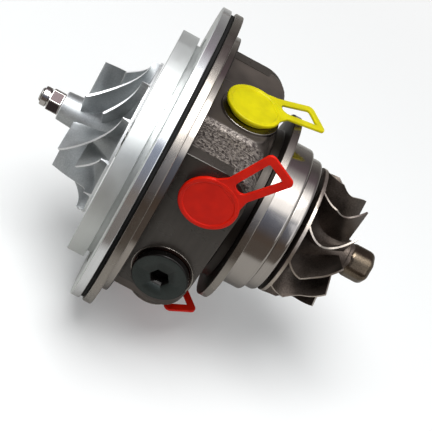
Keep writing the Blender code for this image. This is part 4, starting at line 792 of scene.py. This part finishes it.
def make_turbine_wheel():
    reach = TURBINE_HUB_X - TURBINE_FRONT_X
    rise = TURBINE_RADIUS - TURBINE_HUB_RADIUS
    turns = [math.pi / 2 * i / HUB_STEPS for i in range(HUB_STEPS + 1)]
    hub = [(TURBINE_HUB_X - reach * math.sin(t), TURBINE_RADIUS - rise * math.cos(t)) for t in turns]
    points = [(NOSE_BLOCK_X + 3 * MM, 0.0, 0.0, 0), (NOSE_BLOCK_X + 3 * MM, TURBINE_HUB_RADIUS - 0.8 * MM, 0.0, 0),
            (NOSE_BLOCK_X, TURBINE_HUB_RADIUS - 0.4 * MM, 0.6 * MM, 0)]
    points += hub
    points += [
        (TURBINE_FRONT_X, TURBINE_RADIUS, 0.1 * MM, 1),
        (TURBINE_BACK_X, TURBINE_RADIUS, 0.15 * MM),
        (TURBINE_BACK_X, TURBINE_BOSS_RADIUS, 0.8 * MM),
        (TURBINE_BOSS_X, TURBINE_BOSS_RADIUS, 0.2 * MM),
        (TURBINE_BOSS_X, TURBINE_SOCKET_RADIUS, 0.1 * MM),
        (TURBINE_SOCKET_X, TURBINE_SOCKET_RADIUS, 0.1 * MM),
        (TURBINE_SOCKET_X, 0.0),
    ]
    body = turned("turbine_hub", points, [TURBINE_ALLOY, TURBINE_EDGE])
    blades = blade_shell("turbine_blades", turbine_point, 40, 14, turbine_thickness)
    repeated(blades, TURBINE_BLADES, TURBINE_ALLOY, TURBINE_EDGE)
    joined("turbine_wheel_cast", [body, blades, make_nose_block()], "rotor", ["turbine_wheel"])


# Backplate and heat shield


def make_backplate():
    fine = 0.12 * MM
    edge = 0.4 * MM
    points = [
        (PLATE_BACK_X, PLATE_POCKET_RADIUS, fine, 1),
        (PLATE_BACK_X, PLATE_FLANGE_RADIUS, edge),
        (PLATE_FLANGE_X, PLATE_FLANGE_RADIUS, edge, 1),
        (PLATE_FLANGE_X, PLATE_SEAT_RADIUS, 0.0, 1),
        (PLATE_SEAT_X, PLATE_SEAT_RADIUS, 0.0, 1),
        (PLATE_SEAT_X, PLATE_GROOVE_RADIUS, fine, 1),
        (PLATE_DISC_BACK_X, PLATE_GROOVE_RADIUS, fine, 1),
        (PLATE_DISC_BACK_X, PLATE_DISC_RADIUS, fine, 1),
        (PLATE_FRONT_X, PLATE_DISC_RADIUS, 0.35 * MM, 1),
        (PLATE_FRONT_X, PLATE_BORE_RADIUS, fine, 1),
        (PLATE_POCKET_X, PLATE_BORE_RADIUS, fine, 1),
        (PLATE_POCKET_X, PLATE_POCKET_RADIUS, fine, 1),
    ]
    plate = turned("compressor_backplate_turned", points, [POLISHED_ALUMINIUM, SATIN_ALUMINIUM])
    settle(plate, "housing", ["compressor_backplate"])


def make_heat_shield():
    """A spun cup: rounded shoulder, a tight corner where the narrower lip starts, and a rounded end."""
    bend = 1.5 * MM
    inner = 0.5 * MM
    wall = SHIELD_WALL
    nip = 0.35 * MM
    points = [
        (SHIELD_END_X, SHIELD_HOLE_RADIUS, 0.2 * MM),
        (SHIELD_END_X, SHIELD_LIP_RADIUS, bend),
        (SHIELD_SHOULDER_X + nip, SHIELD_LIP_RADIUS, 0.3 * MM),
        (SHIELD_SHOULDER_X, SHIELD_LIP_RADIUS - nip, 0.1 * MM),
        (SHIELD_SHOULDER_X, SHIELD_RADIUS, bend),
        (SHIELD_START_X, SHIELD_RADIUS, 0.15 * MM),
        (SHIELD_START_X, SHIELD_RADIUS - wall, 0.15 * MM),
        (SHIELD_SHOULDER_X - wall, SHIELD_RADIUS - wall, inner),
        (SHIELD_SHOULDER_X - wall, SHIELD_LIP_RADIUS - nip - wall, inner),
        (SHIELD_END_X - wall, SHIELD_LIP_RADIUS - nip - wall, inner),
        (SHIELD_END_X - wall, SHIELD_HOLE_RADIUS, 0.2 * MM),
    ]
    settle(turned("heat_shield_spun", points, [STAINLESS]), "housing", ["heat_shield"])


# Bearing housing


def drain_outline(grow=0.0):
    """The drain flange's outline: a round middle and two ears, joined by straight tangents."""
    half = DRAIN_BOLT_SPACING / 2
    lobe = DRAIN_LOBE_RADIUS + grow
    ear = DRAIN_EAR_RADIUS + grow
    lean = math.asin((lobe - ear) / half)
    points = []
    for centre, radius, first, last in (
            (half, ear, -math.pi / 2 + lean, math.pi / 2 - lean),
            (0.0, lobe, math.pi / 2 - lean, math.pi / 2 + lean),
            (-half, ear, math.pi / 2 + lean, 3 * math.pi / 2 - lean),
            (0.0, lobe, -math.pi / 2 - lean, -math.pi / 2 + lean)):
        for i in range(25):
            angle = first + (last - first) * i / 24
            points.append((radius * math.sin(angle), centre + radius * math.cos(angle)))
    return points


def prism(bm, outline, low, high):
    """Adds an upright prism with an (x, y) outline to a bmesh."""
    bottom = [bm.verts.new((x, y, low)) for x, y in outline]
    top = [bm.verts.new((x, y, high)) for x, y in outline]
    bm.faces.new(bottom)
    bm.faces.new(top)
    for i in range(len(outline)):
        j = (i + 1) % len(outline)
        bm.faces.new((bottom[i], bottom[j], top[j], top[i]))


def bar(bm, radius, start, end, steps=64):
    """Adds a round bar between two points to a bmesh."""
    start = Vector(start)
    end = Vector(end)
    length = (end - start).length
    spin(bm, [(0.0, 0.0, 0), (0.0, radius, 0), (length, radius, 0), (length, 0.0, 0)], steps,
         place_along(start, end - start))


def across(points):
    """Fillets an outline and keeps its two coordinates."""
    return [(u, v) for u, v, _ in rounded(points, 8)]


def body_block():
    """The boxy casting between the flanges: its plan and its side view, both rounded towards the turbine, crossed."""
    wide = BODY_HALF_WIDTH
    plan = bmesh.new()
    prism(plan, across([(RECESS_DEPTH, -wide, 0.0), (BODY_END_X, -wide, 4.5 * MM),
            (BODY_END_X, wide, 10.5 * MM), (RECESS_DEPTH, wide, 0.0)]), 1.1 * BODY_BOTTOM_Z,
          1.1 * BODY_TOP_Z)
    side = bmesh.new()
    prism(side, across([(RECESS_DEPTH - MM, BODY_BOTTOM_Z, 0.0), (BODY_END_X, BODY_BOTTOM_Z, 8.0 * MM),
            (BODY_END_X, BODY_TOP_Z, 5.0 * MM), (RECESS_DEPTH - MM, BODY_TOP_Z, 0.0)]),
          -1.1 * wide, 1.1 * wide)
    bmesh.ops.transform(side, verts=side.verts, matrix=Matrix.Rotation(math.pi / 2, 4, "X"))
    block = finished("body_block", plan, [], weighted=False)
    carve([block], side, "INTERSECT")
    return block


# Each port: its face, its way out and its radius; oil inlet, water port, plug, water outlet
PORTS = (
    (Vector((PORT_X, 0, BOSS_FACE_Z)), Vector((0, 0, 1)), OIL_PORT_RADIUS),
    (Vector((PORT_X, -BOSS_FACE_Y, WATER_PORT_Z)), Vector((0, -1, 0)), WATER_PORT_RADIUS),
    (Vector((PLUG_X, -BOSS_FACE_Y, PLUG_Z)), Vector((0, -1, 0)), WATER_PORT_RADIUS),
    (Vector((PORT_X, BOSS_FACE_Y, PLUG_Z)), Vector((0, 1, 0)), WATER_PORT_RADIUS),
)
SEAT_THICKNESS = 0.25 * MM
OIL_SEAT_THICKNESS = 1.1 * MM
BEYOND = 1.0 * MM


def make_pad(name, side, lower_x):
    """The milled pad that both ports on a side share: straight towards the flange, round about each port."""
    def arc(x, z, first, last):
        turns = [math.radians(first + (last - first) * i / 16) for i in range(17)]
        return [(x + PAD_RADIUS * math.cos(t), z + PAD_RADIUS * math.sin(t)) for t in turns]

    outline = [(RECESS_DEPTH, WATER_PORT_Z + PAD_RADIUS)] + arc(PORT_X, WATER_PORT_Z, 90, 0)
    outline += arc(lower_x, PLUG_Z, 0, -90) + [(RECESS_DEPTH, PLUG_Z - PAD_RADIUS)]
    bm = bmesh.new()
    prism(bm, outline, PAD_ROOT_Y, BOSS_FACE_Y)
    face = [e for e in bm.edges if all(v.co.z > BOSS_FACE_Y - 1e-6 for v in e.verts)]
    bmesh.ops.bevel(bm, geom=face, offset=0.3 * MM, segments=3, profile=0.5, affect="EDGES")
    bmesh.ops.transform(bm, verts=bm.verts, matrix=Matrix.Rotation(math.pi / 2, 4, "X"))
    if side > 0:
        bmesh.ops.scale(bm, verts=bm.verts, vec=(1, -1, 1))
    return finished(name, bm, [MILLED_IRON], weighted=False)


def add_drain_bores(bm, top, bolt_top):
    """Adds the drain hole and its two bolt holes, from under the flange's face up to a height each."""
    below = DRAIN_FACE_Z - BEYOND
    bar(bm, DRAIN_RADIUS, (PORT_X, 0, top), (PORT_X, 0, below))
    for side in (-1, 1):
        y = side * DRAIN_BOLT_SPACING / 2
        bar(bm, DRAIN_BOLT_RADIUS, (PORT_X, y, bolt_top), (PORT_X, y, below), 48)


def make_casting():
    """The cast body with its bosses, made one skin with soft fillets, then bored, with its two milled pads."""
    bm = bmesh.new()
    block = body_block()
    bm.from_mesh(block.data)
    bpy.data.objects.remove(block)
    spin(bm, [(RECESS_DEPTH, 0.0, 0), (RECESS_DEPTH, NECK_RADIUS, 0), (GROOVE_X - 0.1 * MM, NECK_RADIUS, 0),
            (GROOVE_X - 0.1 * MM, 0.0, 0)], 96)
    half = PLATFORM_HALF_WIDTH
    prism(bm, across([(RECESS_DEPTH, -half, 0.0), (26.5 * MM, -half, 5.0 * MM), (26.5 * MM, half, 8.0 * MM),
            (RECESS_DEPTH, half, 0.0)]), 20 * MM, PLATFORM_Z)
    bar(bm, BOSS_RADIUS, (PORT_X, 0, 20 * MM), (PORT_X, 0, BOSS_FACE_Z - OIL_SEAT_THICKNESS))
    outline = [(PORT_X + x, y) for x, y in drain_outline()]
    prism(bm, outline, DRAIN_FACE_Z + SEAT_THICKNESS, BODY_BOTTOM_Z + 5 * MM)
    casting = finished("housing_casting", bm, [IRON], 180.0, weighted=False)
    skin = casting.modifiers.new("skin", "REMESH")
    skin.mode = "VOXEL"
    skin.voxel_size = CAST_VOXEL
    skin.use_smooth_shade = True
    soften = casting.modifiers.new("soften", "SMOOTH")
    soften.factor = 0.5
    soften.iterations = 5
    plain(casting)
    pads = [make_pad("near_pad", -1, PLUG_X), make_pad("far_pad", 1, PORT_X)]
    holes = bmesh.new()
    start = RECESS_DEPTH - BEYOND
    spin(holes, [(start, 0.0, 0), (start, COLLAR_CHAMBER_RADIUS, 0),
            (COLLAR_CHAMBER_END_X, COLLAR_CHAMBER_RADIUS, 0), (COLLAR_CHAMBER_END_X, BORE_RADIUS, 0),
            (GROOVE_X + BEYOND, BORE_RADIUS, 0), (GROOVE_X + BEYOND, 0.0, 0)], 96)
    ports = bmesh.new()
    for face, out, radius in PORTS:
        bar(ports, radius, face - out * PORT_DEPTH, face + out * BEYOND)
    add_drain_bores(ports, DRAIN_TOP_Z, DRAIN_FACE_Z + 10 * MM)
    carve([casting], holes)
    carve([casting] + pads, ports)
    for pad in pads:
        pad.data.set_sharp_from_angle(angle=math.radians(20))
    return [casting] + pads


def make_port_seats():
    """The oil inlet's machined ring, the fine lip round the plug's spot face, and the drain flange's ground face."""
    oil_face, oil_out, oil_radius = PORTS[0]
    plug_face, plug_out, _ = PORTS[2]
    lip = 10.0 * MM
    seats = [turned("oil_seat", [
        (-1.5 * OIL_SEAT_THICKNESS, oil_radius),
        (-1.5 * OIL_SEAT_THICKNESS, BOSS_RADIUS - 0.1 * MM, 0.1 * MM),
        (0.0, BOSS_RADIUS - 0.1 * MM, 0.2 * MM),
        (0.0, oil_radius, 0.2 * MM),
    ], [TURNED_IRON], SMALL_ROUND_STEPS, place_along(oil_face, oil_out)), turned("plug_lip", [
        (-SEAT_THICKNESS, lip),
        (-SEAT_THICKNESS, lip + 0.45 * MM),
        (SEAT_THICKNESS, lip + 0.45 * MM, 0.12 * MM),
        (SEAT_THICKNESS, lip, 0.12 * MM),
    ], [TURNED_IRON], SMALL_ROUND_STEPS, place_along(plug_face, plug_out))]
    bm = bmesh.new()
    prism(bm, [(PORT_X + x, y) for x, y in drain_outline(-0.2 * MM)], DRAIN_FACE_Z, DRAIN_FACE_Z + SEAT_THICKNESS)
    plate = finished("drain_seat", bm, [TURNED_IRON])
    holes = bmesh.new()
    add_drain_bores(holes, DRAIN_FACE_Z + BEYOND, DRAIN_FACE_Z + BEYOND)
    carve([plate], holes)
    return seats + [plate]


def make_housing():
    edge = 0.35 * MM
    fine = 0.15 * MM
    # In both turned pieces, slot 1 covers the faces down in the step and the clamp groove: turned iron with painted
    # shade.
    flange = turned("housing_flange", [
        (0.0, RECESS_RADIUS, fine),
        (0.0, FLANGE_RADIUS, edge),
        (FLANGE_THICKNESS, FLANGE_RADIUS, edge),
        (FLANGE_THICKNESS, STEP_RADIUS, fine, 2),
        (STEP_END_X, STEP_RADIUS, edge, 1),
        (STEP_END_X, NECK_RADIUS, 0.0, 1),
        (RECESS_DEPTH, NECK_RADIUS),
        (RECESS_DEPTH, RECESS_RADIUS),
    ], [TURNED_IRON, SHADED_GROOVE_IRON, POLISHED_IRON])
    rear = turned("turbine_flange", [
        (SNOUT_END_X, SEAL_BORE_RADIUS, fine),
        (SNOUT_END_X, SNOUT_RADIUS, edge),
        (TURBINE_RECESS_X, SNOUT_RADIUS, edge),
        (TURBINE_RECESS_X, TURBINE_RECESS_RADIUS),
        (TURBINE_FLANGE_END_X, TURBINE_RECESS_RADIUS),
        (TURBINE_FLANGE_END_X, TURBINE_FLANGE_RADIUS, edge),
        (TURBINE_FLANGE_X, TURBINE_FLANGE_RADIUS, edge, 1),
        (TURBINE_FLANGE_X, GROOVE_RADIUS, 0.5 * MM, 1),
        (GROOVE_X, GROOVE_RADIUS, 0.3 * MM, 1),
        (GROOVE_X - 0.5 * MM, NECK_RADIUS, 0.0, 1),
        (GROOVE_X - 0.6 * MM, BORE_RADIUS),
        (CHAMBER_START_X, BORE_RADIUS),
        (CHAMBER_START_X, CHAMBER_RADIUS),
        (CHAMBER_END_X, CHAMBER_RADIUS),
        (CHAMBER_END_X, SEAL_BORE_RADIUS),
    ], [TURNED_IRON, SHADED_GROOVE_IRON])
    joined("bearing_housing_cast", make_casting() + [flange, rear] + make_port_seats(), "housing",
           ["bearing_housing"])


# Plug and caps


def make_plug():
    """The screw plug's head with a turned edge and a hexagon socket, on its shank."""
    face = Vector((PLUG_X, -BOSS_FACE_Y, PLUG_Z))
    place = place_along(face, (0, -1, 0))
    under = 1.0 * MM
    top = 3.4 * MM
    # The head's side and underside take slot 1, the darker steel: painted shade.
    plug = turned("plug_body", [
        (top, 0.0),
        (top, PLUG_HEAD_RADIUS, 0.45 * MM, 1),
        (under, PLUG_HEAD_RADIUS, 0.3 * MM, 1),
        (under, PLUG_SHANK_RADIUS, 0.2 * MM),
        (-7.0 * MM, PLUG_SHANK_RADIUS, 0.4 * MM),
        (-7.0 * MM, 0.0),
    ], [BLACK_STEEL, BLACK_STEEL_PAINTED_SHADE], SMALL_ROUND_STEPS, place)
    bm = bmesh.new()
    # The socket's walls take slot 1 too: painted shade down in the socket.
    spin(bm, [(top - PLUG_SOCKET_DEPTH, 0.0, 1), (top - PLUG_SOCKET_DEPTH, PLUG_SOCKET_RADIUS, 1),
            (top + MM, PLUG_SOCKET_RADIUS, 1), (top + MM, 0.0, 1)], 6, place)
    carve([plug], bm)
    plug.name = "water_port_plug_turned"
    settle(plug, "housing", ["water_port_plug"])


def droop(point, hinge, angle):
    """A point of the pull loop bent down past its hinge, over a short bend."""
    run = 3.0 * MM
    over = point.x - hinge
    if over <= 0 or angle == 0:
        return point
    turn = angle * min(over / run, 1.0)
    size = run / angle
    bent_x = hinge + size * math.sin(turn)
    bent_z = -size * (1 - math.cos(turn))
    rest = max(over - run, 0.0)
    bent_x += rest * math.cos(turn)
    bent_z -= rest * math.sin(turn)
    return Vector((bent_x + point.z * math.sin(turn), point.y, bent_z + point.z * math.cos(turn)))


def make_loop(name, edge, reach, material, place, angle, level):
    """The pull loop: a flat strip with rounded edges round a hole that is round at the disc's end."""
    near = 4.8 * MM
    far = 6.2 * MM
    outside = [(edge - 2.4 * MM, -near - 1.5 * MM, 0.0), (edge + 1.4 * MM, -near, 3.0 * MM),
            (reach, -far, 1.9 * MM), (reach, far, 1.9 * MM), (edge + 1.4 * MM, near, 3.0 * MM),
            (edge - 2.4 * MM, near + 1.5 * MM, 0.0)]
    start = edge + 1.1 * MM
    hole = [(start, -near + TAB_STRUT, 2.3 * MM), (reach - TAB_STRUT, -far + TAB_STRUT, 0.6 * MM),
            (reach - TAB_STRUT, far - TAB_STRUT, 0.6 * MM), (start, near - TAB_STRUT, 2.3 * MM)]
    curve = bpy.data.curves.new(name, "CURVE")
    curve.dimensions = "2D"
    curve.fill_mode = "BOTH"
    curve.extrude = 0.22 * MM
    curve.bevel_depth = 0.28 * MM
    curve.bevel_resolution = 3
    curve.offset = -0.28 * MM
    for outline in (outside, hole):
        corners = rounded(outline, 8)
        spline = curve.splines.new("POLY")
        spline.points.add(len(corners) - 1)
        for point, (x, y, _) in zip(spline.points, corners):
            point.co = (x, y, 0, 1)
        spline.use_cyclic_u = True
    source = placed(name + "_outline", curve)
    seen = source.evaluated_get(bpy.context.evaluated_depsgraph_get())
    bm = bmesh.new()
    bm.from_mesh(bpy.data.meshes.new_from_object(seen))
    bpy.data.objects.remove(source)
    bmesh.ops.remove_doubles(bm, verts=bm.verts, dist=0.002 * MM)
    long_edges = [e for e in bm.edges if e.calc_length() > 2.5 * MM]
    bmesh.ops.subdivide_edges(bm, edges=long_edges, cuts=6, use_grid_fill=False)
    for vert in bm.verts:
        vert.co = place @ (droop(vert.co, edge - 0.5 * MM, angle) + Vector((0, 0, level)))
    return finished(name, bm, [material], 50.0)


def make_cap(name, face, outward, port_radius, radius, material, body, tab_clock, reach=TAB_REACH, angle=0.0):
    """A moulded cap: raised rim round a shallow dish, a collar, a hollow tapered stem and the pull loop."""
    place = place_along(face, outward) @ Matrix.Rotation(tab_clock, 4, "Z")
    under = CAP_SEAT_GAP + CAP_COLLAR_HEIGHT
    top = under + CAP_THICKNESS
    stem = port_radius - CAP_STEM_GAP
    inside = stem - CAP_STEM_GAP - CAP_STEM_WALL
    rim = 1.35 * MM
    dish = 0.35 * MM
    disc = turned(name + "_disc", [
        (top - dish, 0.0),
        (top - dish, radius - rim - dish, 0.25 * MM),
        (top, radius - rim, 0.25 * MM),
        (top, radius, 0.45 * MM),
        (under, radius, 0.35 * MM),
        (under, radius - CAP_COLLAR_INSET, 0.4 * MM),
        (CAP_SEAT_GAP, radius - CAP_COLLAR_INSET, 0.3 * MM),
        (CAP_SEAT_GAP, stem, 0.1 * MM),
        (-CAP_STEM_LENGTH, stem - CAP_STEM_GAP, 0.3 * MM),
        (-CAP_STEM_LENGTH, inside, 0.2 * MM),
        (under, inside, 0.3 * MM),
        (under, 0.0),
    ], [material], SMALL_ROUND_STEPS, place)
    loop = make_loop(name + "_loop", radius, reach, material, place, angle, under + CAP_THICKNESS / 2)
    joined(name + "_moulded", [disc, loop], body, [name])


def make_caps():
    up = Vector((0, 0, 1))
    near = Vector((0, -1, 0))
    make_cap("oil_inlet_cap", (PORT_X, 0, BOSS_FACE_Z), up, OIL_PORT_RADIUS, CAP_RADIUS, YELLOW_PLASTIC,
            "oil_inlet_closure", math.radians(35), angle=math.radians(10))
    make_cap("water_port_cap", (PORT_X, -BOSS_FACE_Y, WATER_PORT_Z), near, WATER_PORT_RADIUS, CAP_RADIUS,
            RED_PLASTIC, "water_port_closure", math.radians(61))
    make_cap("water_outlet_cap", (PORT_X, BOSS_FACE_Y, PLUG_Z), -near, WATER_PORT_RADIUS, CAP_RADIUS,
            RED_PLASTIC, "water_outlet_closure", math.radians(60))
    make_cap("oil_drain_cap", (PORT_X, 0, DRAIN_FACE_Z), -up, DRAIN_RADIUS, DRAIN_CAP_RADIUS,
            RED_PLASTIC, "oil_drain_closure", math.radians(59), DRAIN_TAB_REACH)


def dress_cad_nodes():
    """The pieces whose CAD shape is kept: what shows at gaps and ends, and all that is inside."""
    finishes = {
        RUBBER: ("backplate_seal_ring",),
        GROUND_STEEL: ("flinger_sleeve", "thrust_collar"),
        BRONZE: ("front_journal_bearing", "rear_journal_bearing", "thrust_bearing"),
        SPRING_STEEL: ("compressor_piston_ring", "turbine_piston_ring", "oil_deflector",
            *(f"bearing_circlip_{i}" for i in range(1, 5)), *(f"backplate_screw_{i}" for i in range(1, 4)),
            *(f"thrust_bearing_screw_{i}" for i in range(1, 4))),
        COPPER_PAINTED_SHADE: ("plug_seal_washer",),
    }
    for material, names in finishes.items():
        for name in names:
            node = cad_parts[name]
            node.data.materials.clear()
            node.data.materials.append(material)


# Stage


def make_floor():
    """A plain pale floor that keeps the object's shadow. In the metal, the floor a little way in front shows a painted
    dark reflection.
    """
    size = 3.0
    bm = bmesh.new()
    bmesh.ops.create_grid(bm, x_segments=1, y_segments=1, size=size)
    bmesh.ops.translate(bm, verts=bm.verts, vec=(0, 0, CAD_LOW.z - 0.05 * MM))
    material, tree, shader = new_material("pale_card")
    rays = add(tree, "LightPath")
    # Painted shade: rays other than the camera's see the card greyer, which darkens its bounce and its reflection in
    # the metal.
    tone = add(tree, "Mix", {0: rays.outputs["Is Camera Ray"], 6: linear("#bab8b4"),
            7: linear("#f4f5f5")}, data_type="RGBA")
    add(tree, shader, {"Base Color": tone, "Roughness": 0.8})
    glow = add(tree, "Emission", {"Color": linear("#ffffff"), "Strength": 1.0})
    place = add(tree, "TexCoord").outputs["Object"]
    away = add(tree, "VectorMath", {0: place}, operation="LENGTH")
    white = add(tree, "MapRange", {"Value": away.outputs["Value"], "From Min": 0.18, "From Max": 0.5,
            "To Min": 0.15, "To Max": 1.0})
    seen = add(tree, "Math", {0: rays.outputs["Is Camera Ray"], 1: rays.outputs["Is Transmission Ray"]},
            operation="MAXIMUM")
    share = add(tree, "Math", {0: seen, 1: white}, operation="MULTIPLY")
    both = add(tree, "MixShader", {0: share, 1: shader, 2: glow})
    parts = add(tree, "SeparateXYZ", {0: place})
    # Painted reflection: to glossy rays, the floor from a little way in front glows a dim brown, as a dark room would
    # look in the metal.
    ahead = add(tree, "MapRange", {"Value": parts.outputs["Y"], "From Min": -112 * MM, "From Max": -140 * MM})
    painted_reflection_share = add(tree, "Math", {0: ahead, 1: rays.outputs["Is Glossy Ray"]}, operation="MULTIPLY")
    painted_room_reflection = add(tree, "Emission", {"Color": linear("#6d645d"), "Strength": 1.0})
    whole = add(tree, "MixShader", {0: painted_reflection_share, 1: both, 2: painted_room_reflection})
    add(tree, tree.nodes["Material Output"], {"Surface": whole})
    floor = finished("floor", bm, [material], weighted=False)


def make_world():
    """A light tent: a bright panel overhead, dim walls in front and behind, as the turned metal reflects them."""
    world = bpy.data.worlds.new("light_tent")
    bpy.context.scene.world = world
    world.use_nodes = True
    tree = world.node_tree
    tree.nodes.clear()
    place = add(tree, "TexCoord").outputs["Generated"]
    parts = add(tree, "SeparateXYZ", {0: place})
    ahead = add(tree, "Math", {0: parts.outputs["Y"], 1: -1.0}, operation="MULTIPLY")
    angle = add(tree, "Math", {0: parts.outputs["Z"], 1: ahead}, operation="ARCTAN2")
    share = add(tree, "Math", {0: angle, 1: math.pi}, operation="DIVIDE")
    bands = add(tree, "ValToRGB", {0: share})
    stops = ((0, "#4a4039"), (8, "#463d36"), (22, "#4b4c54"), (44, "#5d6371"), (55, "#ffffff"),
            (96, "#ffffff"), (108, "#a3a1a2"), (124, "#5a5056"), (150, "#474343"), (170, "#5e5c5a"),
            (180, "#6d6b69"))
    ramp = bands.color_ramp
    while len(ramp.elements) < len(stops):
        ramp.elements.new(0.5)
    for element, (degrees, colour) in zip(ramp.elements, stops):
        element.position = degrees / 180
        element.color = linear(colour)
    side = add(tree, "Math", {0: parts.outputs["X"]}, operation="ABSOLUTE")
    ends = add(tree, "MapRange", {"Value": side, "From Min": 0.6, "From Max": 0.95})
    tent = add(tree, "Mix", {0: ends, 6: bands, 7: linear("#85888a")}, data_type="RGBA")
    rays = add(tree, "LightPath")
    soft = add(tree, "Background", {"Color": linear("#eef0f1"), "Strength": 0.42})
    shine = add(tree, "Background", {"Color": tent, "Strength": 2.2})
    white = add(tree, "Background", {"Color": linear("#ffffff"), "Strength": 1.0})
    glossy = add(tree, "MixShader", {0: rays.outputs["Is Glossy Ray"], 1: soft, 2: shine})
    clear = add(tree, "Math", {0: rays.outputs["Is Camera Ray"], 1: rays.outputs["Is Transmission Ray"]},
            operation="MAXIMUM")
    seen = add(tree, "MixShader", {0: clear, 1: glossy, 2: white})
    add(tree, "OutputWorld", {"Surface": seen})


def make_lamp(name, place, size, power):
    """A soft square lamp that faces the object."""
    data = bpy.data.lights.new(name, "AREA")
    data.size = size
    data.energy = power
    lamp = placed(name, data)
    lamp.location = place
    lamp.rotation_mode = "QUATERNION"
    lamp.rotation_quaternion = (Vector((0.015, 0, 0)) - Vector(place)).to_track_quat("-Z", "Y")


def make_camera():
    data = bpy.data.cameras.new("camera")
    data.sensor_width = SENSOR_WIDTH
    data.lens = LENS
    data.clip_start = 0.01
    data.clip_end = 10.0
    camera = placed("camera", data)
    back = CAMERA_RIGHT.cross(CAMERA_UP)
    turn = Matrix((CAMERA_RIGHT, CAMERA_UP, back)).transposed()
    camera.matrix_world = Matrix.Translation(CAMERA_PLACE) @ turn.to_4x4()
    bpy.context.scene.camera = camera


make_camera()
make_housing()
make_backplate()
make_heat_shield()
make_compressor_wheel()
make_nut()
make_shaft()
make_turbine_wheel()
make_plug()
make_caps()
dress_cad_nodes()
make_floor()
make_world()
make_lamp("key_lamp", (-0.12, -0.16, 0.78), 0.55, 6.6)
make_lamp("fill_lamp", (0.45, -0.55, 0.35), 0.5, 0.8)
bpy.context.scene.view_settings.view_transform = "Standard"
